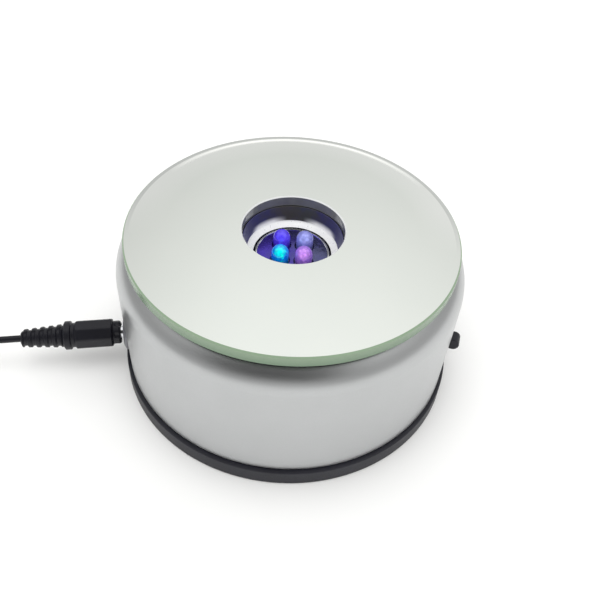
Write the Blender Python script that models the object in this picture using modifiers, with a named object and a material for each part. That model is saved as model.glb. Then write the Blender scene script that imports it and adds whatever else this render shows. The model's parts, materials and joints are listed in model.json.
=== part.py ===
"""Rotating display stand: mirror-topped turntable on a silver drum with a lit centre well.

Frame: origin on the table plane under the turntable's axis, +Z up, -Y is the front,
-X the side with the power jack and +X the side with the slide switch.
Lengths in this file are in millimetres; the helpers turn them into metres.
"""

import math

import bmesh
import bpy
from mathutils import Matrix, Vector

MM = 0.001
TURN = 2 * math.pi

# ---------------------------------------------------------------- driving dimensions
GLASS_R = 47.5
GLASS_HOLE_R = 14.7
GLASS_TOP = 50.3
GLASS_THICK = 3.5
GLASS_BOTTOM = GLASS_TOP - GLASS_THICK
GLASS_ARRIS = 0.4

SHELL_LIP_R = 46.4
SHELL_LIP_Z = 46.45
SHELL_MAX_R = 50.5
SHELL_MAX_Z = 33.0
SHELL_FOOT_R = 49.5
SHELL_FOOT_Z = 5.8
SHELL_WALL = 1.8
SHELL_SHOULDER_POWER = 2.2
SHELL_SHOULDER_STEPS = 7
RECESS_R = 44.9
RECESS_WALL = 1.5
DECK_TOP = 39.4
DECK_THICK = 1.8
DECK_HOLE_R = 16.9

BASE_RIM_R = 51.25
BASE_BOTTOM = 0.5
BASE_FLOOR_TOP = 2.5
BASE_RIM_TOP = 5.5
BASE_RIM_INNER_R = 47.0
BASE_RIM_EASE = 0.65

FOOT_R = 3.8
FOOT_TOP = 1.0
FRONT_FOOT_SPREAD = math.radians(24)
FOOT_CIRCLE_R = 43.0
BACK_FOOT_ANGLE = math.radians(52)

BASE_SCREW_CIRCLE_R = 44.9
BASE_SCREW_ANGLES = [math.radians(a) for a in (30, 150, 270)]
BASE_SCREW_BOSS_R = 3.2
BASE_SCREW_BOSS_TOP = 16.0
BASE_SCREW_PILLAR_R = 3.0
BASE_SCREW_PILOT_R = 1.6
BASE_SCREW_PILOT_TOP = 14.2
BASE_SCREW_SHANK_R = 1.3
BASE_SCREW_HEAD_R = 2.6
BASE_SCREW_SEAT = 2.2
BASE_SCREW_TIP = 13.0

WELL_X = 26.6
WELL_Y = (-33.8, -1.2)
WELL_TOP = 14.2
WELL_WALL = 1.4
CELL_PITCH = 10.7
CELL_Z = 8.2
CONTACT_HALF = 3.8
DOOR_GAP = 0.3
DOOR_THICK = 1.7
HOOK_X = 13.0
HOOK_WIDTH = 6.0
HOOK_Y = (-2.4, 1.1)
HOOK_Z = (2.45, 3.5)
HOOK_WINDOW_TOP = 5.9
DOOR_GROOVES = 4
DOOR_GROOVE_PITCH = 1.7
DOOR_GROOVE_WIDTH = 0.8
DOOR_GROOVE_HALF_LENGTH = 7.0
CONTACT_THICK = 0.4
SPRING_TURNS = 3.25
SPRING_LENGTH = 3.6
SPRING_WIDE_R = 3.3
SPRING_NARROW_R = 2.0
SPRING_WIRE_R = 0.32
SPRING_STEPS = 26

COLUMN_R = 16.6
COLUMN_BORE_R = 15.0
COLUMN_TOP = 45.75
COLUMN_BOTTOM = 34.8
COLUMN_COLLAR_R = 20.0
COLUMN_COLLAR_BOTTOM = 35.8
COLUMN_LEDGE_R = 10.0
CUP_TOP = 46.45
CUP_THICK = 0.4
CUP_FLANGE_R = 18.0
CUP_MOUTH_R = 14.2
CUP_BOWL_R = 13.3
CUP_BOWL_RISE = 1.0
CUP_FLOOR_R = 11.4
CUP_FLOOR_BOTTOM = 39.9
LIGHT_DISC_TOP = 41.2
LIGHT_DISC_THICK = 0.8
LIGHT_DISC_R = 10.8
LIGHT_DISC_SKIRT_TOP = 39.6
LIGHT_DISC_SKIRT_R = 9.8
LED_R = 2.5
LED_FLANGE_R = 2.8
LED_FLANGE_THICK = 1.0
LED_CIRCLE_R = 4.8
LED_BOTTOM = 38.1
LED_TOP = 46.1
LED_ANGLES = [math.radians(a) for a in (45, 135, 225, 315)]
LED_BOARD_Z = (36.6, 37.8)

PLATTER_R = 44.3
PLATTER_TOP = 46.2
PLATTER_THICK = 1.8
PLATTER_BORE_R = 16.9
PLATTER_SLEEVE_R = 19.6
PLATTER_SLEEVE_BOTTOM = 40.5
PLATTER_STEP_Z = 45.1
PLATTER_STEP_R = 18.4
PLATTER_EDGE_DROP = 0.8
PLATTER_EDGE_WALL = 1.2

HUB_MODULE = 1.0
HUB_TEETH = 48
OUTPUT_TEETH = 12
TRAIN_MODULE = 0.5
WHEEL_TEETH = 32
PINION_TEETH = 8
MESH_SLACK = 0.05
HUB_GEAR_Z = (40.9, 44.1)
LEVELS = [(26.4, 28.4), (29.0, 31.0), (31.6, 33.6)]
MOTOR_XY = Vector((-13.0, 27.5))
FIRST_LINE = math.radians(-15)
SECOND_LINE = math.radians(15)
AXLE_R = 0.8
AXLE_BORE_R = 1.05
OUTPUT_SHAFT_R = 1.2
LOWER_PLATE_Z = (24.2, 25.7)
UPPER_PLATE_Z = (34.4, 35.6)
LOWER_PLATE_OUTLINE = [
    (-33.5, 17.5),
    (-30.5, 16.5),
    (26, 14.5),
    (29.5, 18),
    (29.5, 24),
    (14, 38),
    (2, 42.8),
    (-14, 41),
    (-33.5, 24),
]
UPPER_PLATE_OUTLINE = [
    (-33.5, 17.8),
    (-28, 17),
    (-6, 19.2),
    (8, 19.2),
    (26, 16.5),
    (29.5, 19.5),
    (29.5, 24),
    (14, 36),
    (2, 42.8),
    (-6, 41),
    (-33.5, 23.5),
]
POST_SPOTS = [(26.0, 20.0), (2.0, 39.5), (-30.5, 20.0)]
POST_R = 2.4
POST_HOLE_R = 1.3
BOSS_R = 2.8
GEARBOX_SCREW_SHANK_R = 0.95
GEARBOX_SCREW_HEAD_R = 2.1
GEARBOX_SCREW_HEAD = 1.3
GEARBOX_SCREW_TIP = 18.0
BOSS_PILOT_BOTTOM = 16.5

MOTOR_R = 12.2
MOTOR_Z = (11.6, 23.9)
MOTOR_NOSE_R = 3.1
MOTOR_NOSE_RISE = 1.2
MOTOR_BORE_R = 1.4
MOTOR_SHAFT_R = 1.0
MOTOR_CAP_THICK = 1.0

BOARD_X = (-12.0, 26.0)
BOARD_Y = (-24.0, 4.0)
BOARD_THICK = 1.2
BOARD_PEGS = [(-8.0, -10.0), (20.0, -10.0)]
BOARD_PEG_R = 1.6
BOARD_PEG_RISE = 1.3
WIRE_R = 0.55

JACK_ANGLE = math.radians(191)
JACK_Z = 11.8
JACK_FRONT = 51.3
JACK_BEZEL_R = 5.6
JACK_BEZEL_THICK = 1.35
JACK_THREAD_R = 4.7
JACK_THREAD_END = 44.0
JACK_BACK_R = 4.2
JACK_BACK = 35.0
JACK_BORE_R = 2.35
JACK_BORE_END = 37.2
JACK_PIN_R = 0.75
JACK_PIN_TIP = 46.5
JACK_NUT_R = 5.9
JACK_NUT_HOLE_R = 5.0
JACK_NUT_REACH = (45.6, 47.1)

PLUG_R = 4.4
PLUG_FACE = 52.3
PLUG_NOSE_R = 3.7
PLUG_SHOULDER = 54.6
PLUG_GROOVE = (65.6, 67.2)
PLUG_GROOVE_R = 3.4
PLUG_COLLAR_END = 69.3
PLUG_BORE_R = 2.3
PLUG_BORE_END = 58.3
PLUG_BARREL_R = 2.0
PLUG_BARREL_BORE_R = 1.15
PLUG_BARREL_REACH = (43.8, 58.0)
RIBS = 5
RIB_PITCH = 2.8
RIB_WIDTH = 1.7
RIB_DEPTH = 0.6
RIB_END_R = 2.5
RIB_GROWTH = 0.2
RELIEF_END = 83.3

SWITCH_ANGLE = math.radians(-13)
SWITCH_Z = 21.0
SWITCH_TRAVEL = 2.0
SWITCH_BODY_REACH = (40.8, 46.3)
SWITCH_BODY_HALF_WIDTH = 6.5
SWITCH_BODY_HALF_HEIGHT = 3.5
SWITCH_ROOM_END = 43.8
KNOB_SIZE = 4.0
KNOB_REACH = (44.1, 52.8)

CABLE_R = 1.05
CABLE_START = 72.4
CABLE_END = 130.0
CABLE_SAG = (88.0, 122.0)

GAP = 0.3
PRESS_GAP = 0.25
SINK = 0.5
THROUGH = 1.0

ROUND = 48
MEDIUM = 32
SMALL = 16
TINY = 12


# ---------------------------------------------------------------- scene and materials
for leftover in list(bpy.data.objects):
    bpy.data.objects.remove(leftover, do_unlink=True)

PARTS = bpy.data.collections.new("turntable_display_stand")
CUTTERS = bpy.data.collections.new("cutters")
bpy.context.scene.collection.children.link(PARTS)
bpy.context.scene.collection.children.link(CUTTERS)


def material(name, colour, roughness, metallic=0.0):
    made = bpy.data.materials.new(name)
    made.use_nodes = True
    shader = made.node_tree.nodes["Principled BSDF"]
    shader.inputs["Base Color"].default_value = (*colour, 1.0)
    shader.inputs["Roughness"].default_value = roughness
    shader.inputs["Metallic"].default_value = metallic
    return made


SILVER = material("silver_shell", (0.62, 0.63, 0.63), 0.32, 0.7)
BLACK = material("black_abs", (0.02, 0.02, 0.024), 0.5)
MIRROR = material("mirror_glass", (0.72, 0.76, 0.72), 0.04, 1.0)
CHROME = material("chrome", (0.8, 0.8, 0.82), 0.06, 1.0)
WHITE_PLASTIC = material("white_plastic", (0.75, 0.74, 0.7), 0.45)
NYLON = material("nylon", (0.85, 0.84, 0.78), 0.5)
STEEL = material("steel", (0.55, 0.55, 0.56), 0.3, 1.0)
BRASS = material("brass", (0.68, 0.5, 0.2), 0.3, 1.0)
GREEN_BOARD = material("circuit_board", (0.02, 0.16, 0.06), 0.5)
WHITE_BOARD = material("light_board", (0.8, 0.8, 0.78), 0.5)
RUBBER = material("rubber", (0.03, 0.03, 0.032), 0.85)
CABLE_PVC = material("cable_pvc", (0.012, 0.012, 0.014), 0.45)
LED_CLEAR = material("led_lens", (0.75, 0.82, 0.9), 0.08)
RED_WIRE = material("red_wire", (0.5, 0.02, 0.02), 0.5)
BLACK_WIRE = material("black_wire", (0.015, 0.015, 0.015), 0.5)


# ---------------------------------------------------------------- modelling helpers
def tidy(mesh):
    """Weld a mesh's seams and face it outwards."""
    work = bmesh.new()
    work.from_mesh(mesh)
    bmesh.ops.remove_doubles(work, verts=work.verts, dist=1e-6)
    bmesh.ops.dissolve_degenerate(work, edges=work.edges, dist=1e-7)
    bmesh.ops.recalc_face_normals(work, faces=work.faces)
    work.to_mesh(mesh)
    work.free()


def place(name, mesh, look, location=(0, 0, 0), rotation=(0, 0, 0)):
    """Add a part, or a cutter when look is None, at a location in millimetres."""
    made = bpy.data.objects.new(name, mesh)
    made.location = Vector(location) * MM
    made.rotation_euler = rotation
    if look is None:
        CUTTERS.objects.link(made)
        made.hide_render = True
        made.display_type = "WIRE"
    else:
        PARTS.objects.link(made)
        mesh.materials.append(look)
        mesh.shade_smooth()
        mesh.set_sharp_from_angle(angle=math.radians(32))
    return made


def evaluated_mesh(maker):
    """The finished mesh of an object that is only used to make it, which is then removed."""
    bpy.context.view_layer.update()
    seen = maker.evaluated_get(bpy.context.evaluated_depsgraph_get())
    mesh = bpy.data.meshes.new_from_object(seen)
    source = maker.data
    bpy.data.objects.remove(maker, do_unlink=True)
    if isinstance(source, bpy.types.Curve):
        bpy.data.curves.remove(source)
    else:
        bpy.data.meshes.remove(source)
    tidy(mesh)
    return mesh


def turned(name, profile, look, location=(0, 0, 0), rotation=(0, 0, 0), steps=ROUND):
    """Turn a profile of (radius, height) points about local Z. It closes unless it ends on the axis."""
    open_ended = profile[0][0] == 0 and profile[-1][0] == 0
    count = len(profile)
    edges = [(i, (i + 1) % count) for i in range(count - 1 if open_ended else count)]
    mesh = bpy.data.meshes.new(name)
    mesh.from_pydata([(r * MM, 0, z * MM) for r, z in profile], edges, [])
    maker = bpy.data.objects.new(name + "_profile", mesh)
    bpy.context.scene.collection.objects.link(maker)
    screw = maker.modifiers.new("Screw", "SCREW")
    screw.axis = "Z"
    screw.angle = TURN
    screw.steps = steps
    screw.render_steps = steps
    screw.use_merge_vertices = True
    screw.merge_threshold = 1e-6
    return place(name, evaluated_mesh(maker), look, location, rotation)


def extruded(name, outlines, z0, z1, look, xy=(0, 0)):
    """Extrude closed outlines between two heights; an outline inside another is a hole."""
    curve = bpy.data.curves.new(name, "CURVE")
    curve.dimensions = "2D"
    curve.fill_mode = "BOTH"
    curve.extrude = (z1 - z0) / 2 * MM
    for outline in outlines:
        spline = curve.splines.new("POLY")
        spline.points.add(len(outline) - 1)
        for point, (x, y) in zip(spline.points, outline):
            point.co = (x * MM, y * MM, 0, 1)
        spline.use_cyclic_u = True
    maker = bpy.data.objects.new(name + "_outline", curve)
    bpy.context.scene.collection.objects.link(maker)
    return place(name, evaluated_mesh(maker), look, (xy[0], xy[1], (z0 + z1) / 2))


def wire(name, points, radius, look, sides=1):
    """A round wire through points, with closed ends."""
    curve = bpy.data.curves.new(name, "CURVE")
    curve.dimensions = "3D"
    curve.bevel_depth = radius * MM
    curve.bevel_resolution = sides
    curve.use_fill_caps = True
    spline = curve.splines.new("POLY")
    spline.points.add(len(points) - 1)
    for point, at in zip(spline.points, points):
        point.co = (*(Vector(at) * MM), 1)
    maker = bpy.data.objects.new(name + "_path", curve)
    bpy.context.scene.collection.objects.link(maker)
    return place(name, evaluated_mesh(maker), look)


def block(name, low, high, look, rotation=(0, 0, 0), pivot=(0, 0, 0)):
    """A box between two corners, measured from a pivot and turned about it."""
    work = bmesh.new()
    size = [(b - a) * MM for a, b in zip(low, high)]
    middle = Vector([(a + b) / 2 * MM for a, b in zip(low, high)])
    bmesh.ops.create_cube(work, size=1.0)
    bmesh.ops.scale(work, vec=size, verts=work.verts)
    bmesh.ops.translate(work, vec=middle, verts=work.verts)
    mesh = bpy.data.meshes.new(name)
    work.to_mesh(mesh)
    work.free()
    return place(name, mesh, look, pivot, rotation)


def rod(name, radius, z0, z1, xy, look, steps=TINY, rotation=(0, 0, 0), height=0.0):
    """A cylinder along local Z from z0 to z1."""
    work = bmesh.new()
    lift = Matrix.Translation((0, 0, (z0 + z1) / 2 * MM))
    bmesh.ops.create_cone(
        work,
        cap_ends=True,
        segments=steps,
        radius1=radius * MM,
        radius2=radius * MM,
        depth=(z1 - z0) * MM,
        matrix=lift,
    )
    mesh = bpy.data.meshes.new(name)
    work.to_mesh(mesh)
    work.free()
    return place(name, mesh, look, (xy[0], xy[1], height), rotation)


def combine(target, tool, operation):
    """Join a helper shape to a part, or cut it away."""
    step = target.modifiers.new(operation.title(), "BOOLEAN")
    step.operation = operation
    step.solver = "EXACT"
    step.object = tool


def join(target, tool):
    combine(target, tool, "UNION")


def cut(target, tool):
    combine(target, tool, "DIFFERENCE")


def soften(target, width, segments=2):
    bevel = target.modifiers.new("Bevel", "BEVEL")
    bevel.width = width * MM
    bevel.segments = segments
    bevel.limit_method = "ANGLE"
    bevel.angle_limit = math.radians(40)


def polar(radius, angle):
    return Vector((radius * math.cos(angle), radius * math.sin(angle)))


def base_screw_spots():
    return [polar(BASE_SCREW_CIRCLE_R, angle) for angle in BASE_SCREW_ANGLES]


def switch_room(clearance):
    """Half the width and half the height that the sliding knob needs."""
    return KNOB_SIZE / 2 + SWITCH_TRAVEL + 0.4, KNOB_SIZE / 2 + clearance


def circle(radius, steps):
    return [tuple(polar(radius, TURN * i / steps)) for i in range(steps)]


RADIAL_JACK = (0, math.pi / 2, JACK_ANGLE)
RADIAL_SWITCH = (0, 0, SWITCH_ANGLE)


# ---------------------------------------------------------------- gears
def gear_outline(teeth, module, phase):
    """Straight-flanked teeth, thinned for running clearance."""
    pitch_r = teeth * module / 2
    root_r = pitch_r - 1.2 * module
    tip_r = pitch_r + 0.9 * module
    slope = math.tan(math.radians(20))

    def half_angle(r):
        return (0.78 * math.pi * module / 4 - (r - pitch_r) * slope) / r

    outline = []
    for tooth in range(teeth):
        middle = phase + TURN * tooth / teeth
        for r, side in ((root_r, -1), (tip_r, -1), (tip_r, 1), (root_r, 1)):
            outline.append(tuple(polar(r, middle + side * half_angle(r))))
    return outline


def meshed_phase(phase, teeth, other_teeth, line):
    """The phase that puts a space of the other gear opposite a tooth of this one."""
    return line + math.pi + (math.pi - (phase - line) * teeth) / other_teeth


TRAIN_CENTRES = TRAIN_MODULE * (WHEEL_TEETH + PINION_TEETH) / 2 + MESH_SLACK
OUTPUT_CENTRES = HUB_MODULE * (HUB_TEETH + OUTPUT_TEETH) / 2 + 2 * MESH_SLACK
FIRST_XY = MOTOR_XY + polar(TRAIN_CENTRES, FIRST_LINE)
SECOND_XY = FIRST_XY + polar(TRAIN_CENTRES, SECOND_LINE)


def output_place():
    """Where a gear sits that meshes with both the hub gear and the second gear's pinion."""
    reach = SECOND_XY.length
    cosine = (OUTPUT_CENTRES**2 + reach**2 - TRAIN_CENTRES**2) / (2 * OUTPUT_CENTRES * reach)
    return polar(OUTPUT_CENTRES, math.atan2(SECOND_XY.y, SECOND_XY.x) - math.acos(cosine))


OUTPUT_XY = output_place()


def direction(start, end):
    return math.atan2(end.y - start.y, end.x - start.x)


def compound_gear(name, xy, wheel_level, pinion_top, pinion_phase):
    """A wheel with a smaller pinion moulded on top, bored for its axle."""
    low, high = LEVELS[wheel_level]
    wheel_outline = gear_outline(WHEEL_TEETH, TRAIN_MODULE, 0)
    pinion_outline = gear_outline(PINION_TEETH, TRAIN_MODULE, pinion_phase)
    gear = extruded(name, [wheel_outline], low, high, NYLON, xy)
    join(gear, extruded(name + "_pinion", [pinion_outline], high - SINK, pinion_top, None, xy))
    cut(gear, rod(name + "_bore", AXLE_BORE_R, low - THROUGH, pinion_top + THROUGH, xy, None))


def build_gear_train():
    def train_phase(wheel_xy, pinion_xy):
        return meshed_phase(0, WHEEL_TEETH, PINION_TEETH, direction(wheel_xy, pinion_xy))

    overlap = 0.2
    first_top = LEVELS[1][1] + overlap
    second_top = LEVELS[2][1] + overlap
    compound_gear("first_gear", FIRST_XY, 0, first_top, train_phase(SECOND_XY, FIRST_XY))
    compound_gear("second_gear", SECOND_XY, 1, second_top, train_phase(OUTPUT_XY, SECOND_XY))

    third_outline = gear_outline(WHEEL_TEETH, TRAIN_MODULE, 0)
    third = extruded("third_gear", [third_outline], *LEVELS[2], NYLON, OUTPUT_XY)
    shaft_ends = (LOWER_PLATE_Z[0] + SINK, HUB_GEAR_Z[1] - GAP)
    join(third, rod("third_gear_shaft", OUTPUT_SHAFT_R, *shaft_ends, OUTPUT_XY, None))

    output_phase = meshed_phase(0, HUB_TEETH, OUTPUT_TEETH, math.atan2(OUTPUT_XY.y, OUTPUT_XY.x))
    output_outlines = [
        gear_outline(OUTPUT_TEETH, HUB_MODULE, output_phase),
        circle(OUTPUT_SHAFT_R + PRESS_GAP, TINY),
    ]
    output_ends = (HUB_GEAR_Z[0], HUB_GEAR_Z[1] - overlap)
    extruded("output_pinion", output_outlines, *output_ends, NYLON, OUTPUT_XY)

    hub_outlines = [gear_outline(HUB_TEETH, HUB_MODULE, 0), circle(PLATTER_SLEEVE_R + GAP, MEDIUM)]
    extruded("hub_gear", hub_outlines, *HUB_GEAR_Z, NYLON)

    shaft_ends = (MOTOR_Z[1] - 1.6, LEVELS[0][1] + 0.7)
    shaft = rod("motor_pinion", MOTOR_SHAFT_R, *shaft_ends, MOTOR_XY, BRASS)
    motor_outline = gear_outline(PINION_TEETH, TRAIN_MODULE, train_phase(FIRST_XY, MOTOR_XY))
    teeth_ends = (LEVELS[0][0] - overlap, LEVELS[0][1] + GAP)
    join(shaft, extruded("motor_pinion_teeth", [motor_outline], *teeth_ends, None, MOTOR_XY))

    axle_ends = (LOWER_PLATE_Z[0] + overlap, UPPER_PLATE_Z[1] - overlap)
    rod("first_axle", AXLE_R, *axle_ends, FIRST_XY, STEEL)
    rod("second_axle", AXLE_R, *axle_ends, SECOND_XY, STEEL)


def build_gearbox():
    lower = extruded("gearbox_lower_plate", [LOWER_PLATE_OUTLINE], *LOWER_PLATE_Z, WHITE_PLASTIC)
    upper = extruded("gearbox_upper_plate", [UPPER_PLATE_OUTLINE], *UPPER_PLATE_Z, WHITE_PLASTIC)
    through = (LOWER_PLATE_Z[0] - THROUGH, UPPER_PLATE_Z[1] + THROUGH)
    post_ends = (LOWER_PLATE_Z[1] - SINK, UPPER_PLATE_Z[0] - GAP)

    for number, spot in enumerate(POST_SPOTS, 1):
        join(lower, rod(f"post_{number}", POST_R, *post_ends, spot, None))
    for number, spot in enumerate(POST_SPOTS, 1):
        hole = rod(f"post_hole_{number}", POST_HOLE_R, *through, spot, None)
        cut(lower, hole)
        cut(upper, hole)
        gearbox_screw(f"gearbox_screw_{number}", spot)

    axle_holes = [
        (FIRST_XY, AXLE_BORE_R),
        (SECOND_XY, AXLE_BORE_R),
        (OUTPUT_XY, OUTPUT_SHAFT_R + GAP),
    ]
    for number, (spot, radius) in enumerate(axle_holes, 1):
        hole = rod(f"axle_hole_{number}", radius, *through, spot, None)
        cut(lower, hole)
        cut(upper, hole)
    nose_hole_r = MOTOR_NOSE_R + 0.4
    nose_ends = (LOWER_PLATE_Z[0] - THROUGH, LOWER_PLATE_Z[1] + THROUGH)
    cut(lower, rod("motor_nose_hole", nose_hole_r, *nose_ends, MOTOR_XY, None, SMALL))


def gearbox_screw(name, xy):
    """A pan-head screw, its head above the upper plate and its tip in a boss of the base."""
    seat = UPPER_PLATE_Z[1] + GAP
    top = seat + GEARBOX_SCREW_HEAD
    profile = [
        (0, top),
        (GEARBOX_SCREW_HEAD_R * 0.7, top),
        (GEARBOX_SCREW_HEAD_R, (seat + top) / 2),
        (GEARBOX_SCREW_HEAD_R, seat),
        (GEARBOX_SCREW_SHANK_R, seat),
        (GEARBOX_SCREW_SHANK_R, GEARBOX_SCREW_TIP + GEARBOX_SCREW_SHANK_R),
        (0, GEARBOX_SCREW_TIP),
    ]
    turned(name, profile, STEEL, (xy[0], xy[1], 0), steps=TINY)


# ---------------------------------------------------------------- motor
def build_motor():
    low, high = MOTOR_Z
    edge = 0.5
    bore_bottom = high - 2.0
    can = [
        (0, bore_bottom),
        (MOTOR_BORE_R, bore_bottom),
        (MOTOR_BORE_R, high + MOTOR_NOSE_RISE),
        (MOTOR_NOSE_R, high + MOTOR_NOSE_RISE),
        (MOTOR_NOSE_R, high),
        (MOTOR_R - edge, high),
        (MOTOR_R, high - edge),
        (MOTOR_R, low),
        (0, low),
    ]
    at = (MOTOR_XY.x, MOTOR_XY.y, 0)
    turned("motor_can", can, STEEL, at, steps=MEDIUM)
    cap_r = MOTOR_R - 0.6
    cap_top = low - GAP
    cap_bottom = cap_top - MOTOR_CAP_THICK
    cap = [(0, cap_top), (cap_r, cap_top), (cap_r, cap_bottom), (0, cap_bottom)]
    turned("motor_endcap", cap, BLACK, at, steps=MEDIUM)


# ---------------------------------------------------------------- drum
def shell_outline():
    """The drum's outer surface from the lip down to the foot."""
    rise = SHELL_LIP_Z - SHELL_MAX_Z
    swell = SHELL_MAX_R - SHELL_LIP_R
    power = 2 / SHELL_SHOULDER_POWER
    points = []
    for i in range(SHELL_SHOULDER_STEPS + 1):
        turn = math.pi / 2 * i / SHELL_SHOULDER_STEPS
        height = math.cos(turn) ** power
        width = math.sin(turn) ** power
        points.append((SHELL_LIP_R + swell * width, SHELL_MAX_Z + rise * height))
    for share in (0.3, 0.65, 1.0):
        ease = (1 - math.cos(math.pi * share)) / 2
        radius = SHELL_MAX_R + (SHELL_FOOT_R - SHELL_MAX_R) * ease
        points.append((radius, SHELL_MAX_Z + (SHELL_FOOT_Z - SHELL_MAX_Z) * share))
    return points


def build_shell():
    deck_bottom = DECK_TOP - DECK_THICK
    recess_wall_r = RECESS_R + RECESS_WALL
    inner_r = SHELL_MAX_R - SHELL_WALL
    pocket_top = SHELL_LIP_Z - 3.2
    profile = shell_outline() + [
        (SHELL_FOOT_R - SHELL_WALL, SHELL_FOOT_Z),
        (inner_r, SHELL_MAX_Z),
        (inner_r - 0.8, SHELL_MAX_Z + 6.8),
        (recess_wall_r + 0.5, pocket_top),
        (recess_wall_r, pocket_top - 0.4),
        (recess_wall_r, deck_bottom),
        (DECK_HOLE_R, deck_bottom),
        (DECK_HOLE_R, DECK_TOP),
        (RECESS_R, DECK_TOP),
        (RECESS_R, SHELL_LIP_Z),
    ]
    shell = turned("body_shell", profile, SILVER)

    boss_ends = (SHELL_FOOT_Z, BASE_SCREW_BOSS_TOP)
    pilot_ends = (SHELL_FOOT_Z - THROUGH, BASE_SCREW_PILOT_TOP)
    for number, spot in enumerate(base_screw_spots(), 1):
        join(shell, rod(f"shell_boss_{number}", BASE_SCREW_BOSS_R, *boss_ends, spot, None))
        cut(shell, rod(f"shell_pilot_{number}", BASE_SCREW_PILOT_R, *pilot_ends, spot, None))

    deck_ends = (deck_bottom - THROUGH, DECK_TOP + THROUGH)
    cut(shell, rod("output_shaft_hole", OUTPUT_SHAFT_R + 2 * GAP, *deck_ends, OUTPUT_XY, None))
    wall_reach = (SHELL_FOOT_R - SHELL_WALL - 4.0, SHELL_MAX_R + 4.0)
    jack_hole_r = JACK_THREAD_R + GAP
    jack_hole = rod(
        "jack_hole", jack_hole_r, *wall_reach, (0, 0), None, SMALL, RADIAL_JACK, JACK_Z
    )
    cut(shell, jack_hole)
    half_slot, half_height = switch_room(0.35)
    low = (wall_reach[0], -half_slot, -half_height)
    high = (wall_reach[1], half_slot, half_height)
    cut(shell, block("switch_slot", low, high, None, RADIAL_SWITCH, (0, 0, SWITCH_Z)))


# ---------------------------------------------------------------- base
def feet_spots():
    front = [math.radians(270) + side * FRONT_FOOT_SPREAD for side in (-1, 1)]
    back = [BACK_FOOT_ANGLE, math.pi - BACK_FOOT_ANGLE]
    return [polar(FOOT_CIRCLE_R, angle) for angle in front + back]


def build_base():
    ease = BASE_RIM_EASE
    profile = [
        (0, BASE_FLOOR_TOP),
        (BASE_RIM_INNER_R, BASE_FLOOR_TOP),
        (BASE_RIM_INNER_R, BASE_RIM_TOP),
        (BASE_RIM_R - ease, BASE_RIM_TOP),
        (BASE_RIM_R, BASE_RIM_TOP - ease),
        (BASE_RIM_R, BASE_BOTTOM + ease),
        (BASE_RIM_R - ease, BASE_BOTTOM),
        (0, BASE_BOTTOM),
    ]
    base = turned("base_plate", profile, BLACK)

    wall = WELL_WALL
    roof = WELL_TOP + wall
    floor = BASE_FLOOR_TOP - SINK
    low = (-WELL_X - wall, WELL_Y[0] - wall, floor)
    high = (WELL_X + wall, WELL_Y[1] + wall, roof)
    join(base, block("well_walls", low, high, None))
    for number, spot in enumerate(base_screw_spots(), 1):
        pillar = rod(f"pillar_{number}", BASE_SCREW_PILLAR_R, floor, BASE_RIM_TOP, spot, None)
        join(base, pillar)
    boss_top = LOWER_PLATE_Z[0] - GAP
    for number, spot in enumerate(POST_SPOTS, 1):
        pilot_ends = (BOSS_PILOT_BOTTOM, boss_top + THROUGH)
        join(base, rod(f"boss_{number}", BOSS_R, floor, boss_top, spot, None))
        cut(base, rod(f"boss_pilot_{number}", POST_HOLE_R, *pilot_ends, spot, None))
    for number, spot in enumerate(BOARD_PEGS, 1):
        peg_ends = (roof - SINK, roof + BOARD_PEG_RISE)
        join(base, rod(f"board_peg_{number}", BOARD_PEG_R, *peg_ends, spot, None))

    below = BASE_BOTTOM - THROUGH
    cut(base, block("well_cavity", (-WELL_X, WELL_Y[0], below), (WELL_X, WELL_Y[1], WELL_TOP), None))
    for number, side in enumerate((-1, 1), 1):
        middle = side * HOOK_X
        half = HOOK_WIDTH / 2 + 0.4
        low = (middle - half, WELL_Y[1] - THROUGH, BASE_FLOOR_TOP)
        high = (middle + half, WELL_Y[1] + wall + THROUGH, HOOK_WINDOW_TOP)
        cut(base, block(f"hook_window_{number}", low, high, None))
    hole_ends = (below, BASE_RIM_TOP + THROUGH)
    head_ends = (below, BASE_SCREW_SEAT + 0.2)
    for number, spot in enumerate(base_screw_spots(), 1):
        hole_r = BASE_SCREW_SHANK_R + 0.4
        head_r = BASE_SCREW_HEAD_R + GAP
        cut(base, rod(f"screw_hole_{number}", hole_r, *hole_ends, spot, None))
        cut(base, rod(f"screw_counterbore_{number}", head_r, *head_ends, spot, None, SMALL))
        base_screw(f"base_screw_{number}", spot)
    recess_ends = (below, FOOT_TOP + GAP)
    for number, spot in enumerate(feet_spots(), 1):
        cut(base, rod(f"foot_recess_{number}", FOOT_R + GAP, *recess_ends, spot, None, SMALL))
        edge = 0.35
        foot = [
            (0, FOOT_TOP),
            (FOOT_R, FOOT_TOP),
            (FOOT_R, edge),
            (FOOT_R - edge, 0),
            (0, 0),
        ]
        turned(f"foot_{number}", foot, RUBBER, (spot.x, spot.y, 0), steps=SMALL)


def base_screw(name, xy):
    """A case screw driven upwards from the underside, its head below the seat."""
    seat = BASE_SCREW_SEAT
    profile = [
        (0, BASE_SCREW_TIP),
        (BASE_SCREW_SHANK_R, BASE_SCREW_TIP - 1.4),
        (BASE_SCREW_SHANK_R, seat),
        (BASE_SCREW_HEAD_R, seat),
        (BASE_SCREW_HEAD_R, seat - 0.8),
        (BASE_SCREW_HEAD_R - 0.7, seat - 1.4),
        (0, seat - 1.4),
    ]
    turned(name, profile, STEEL, (xy[0], xy[1], 0), steps=TINY)


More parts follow.
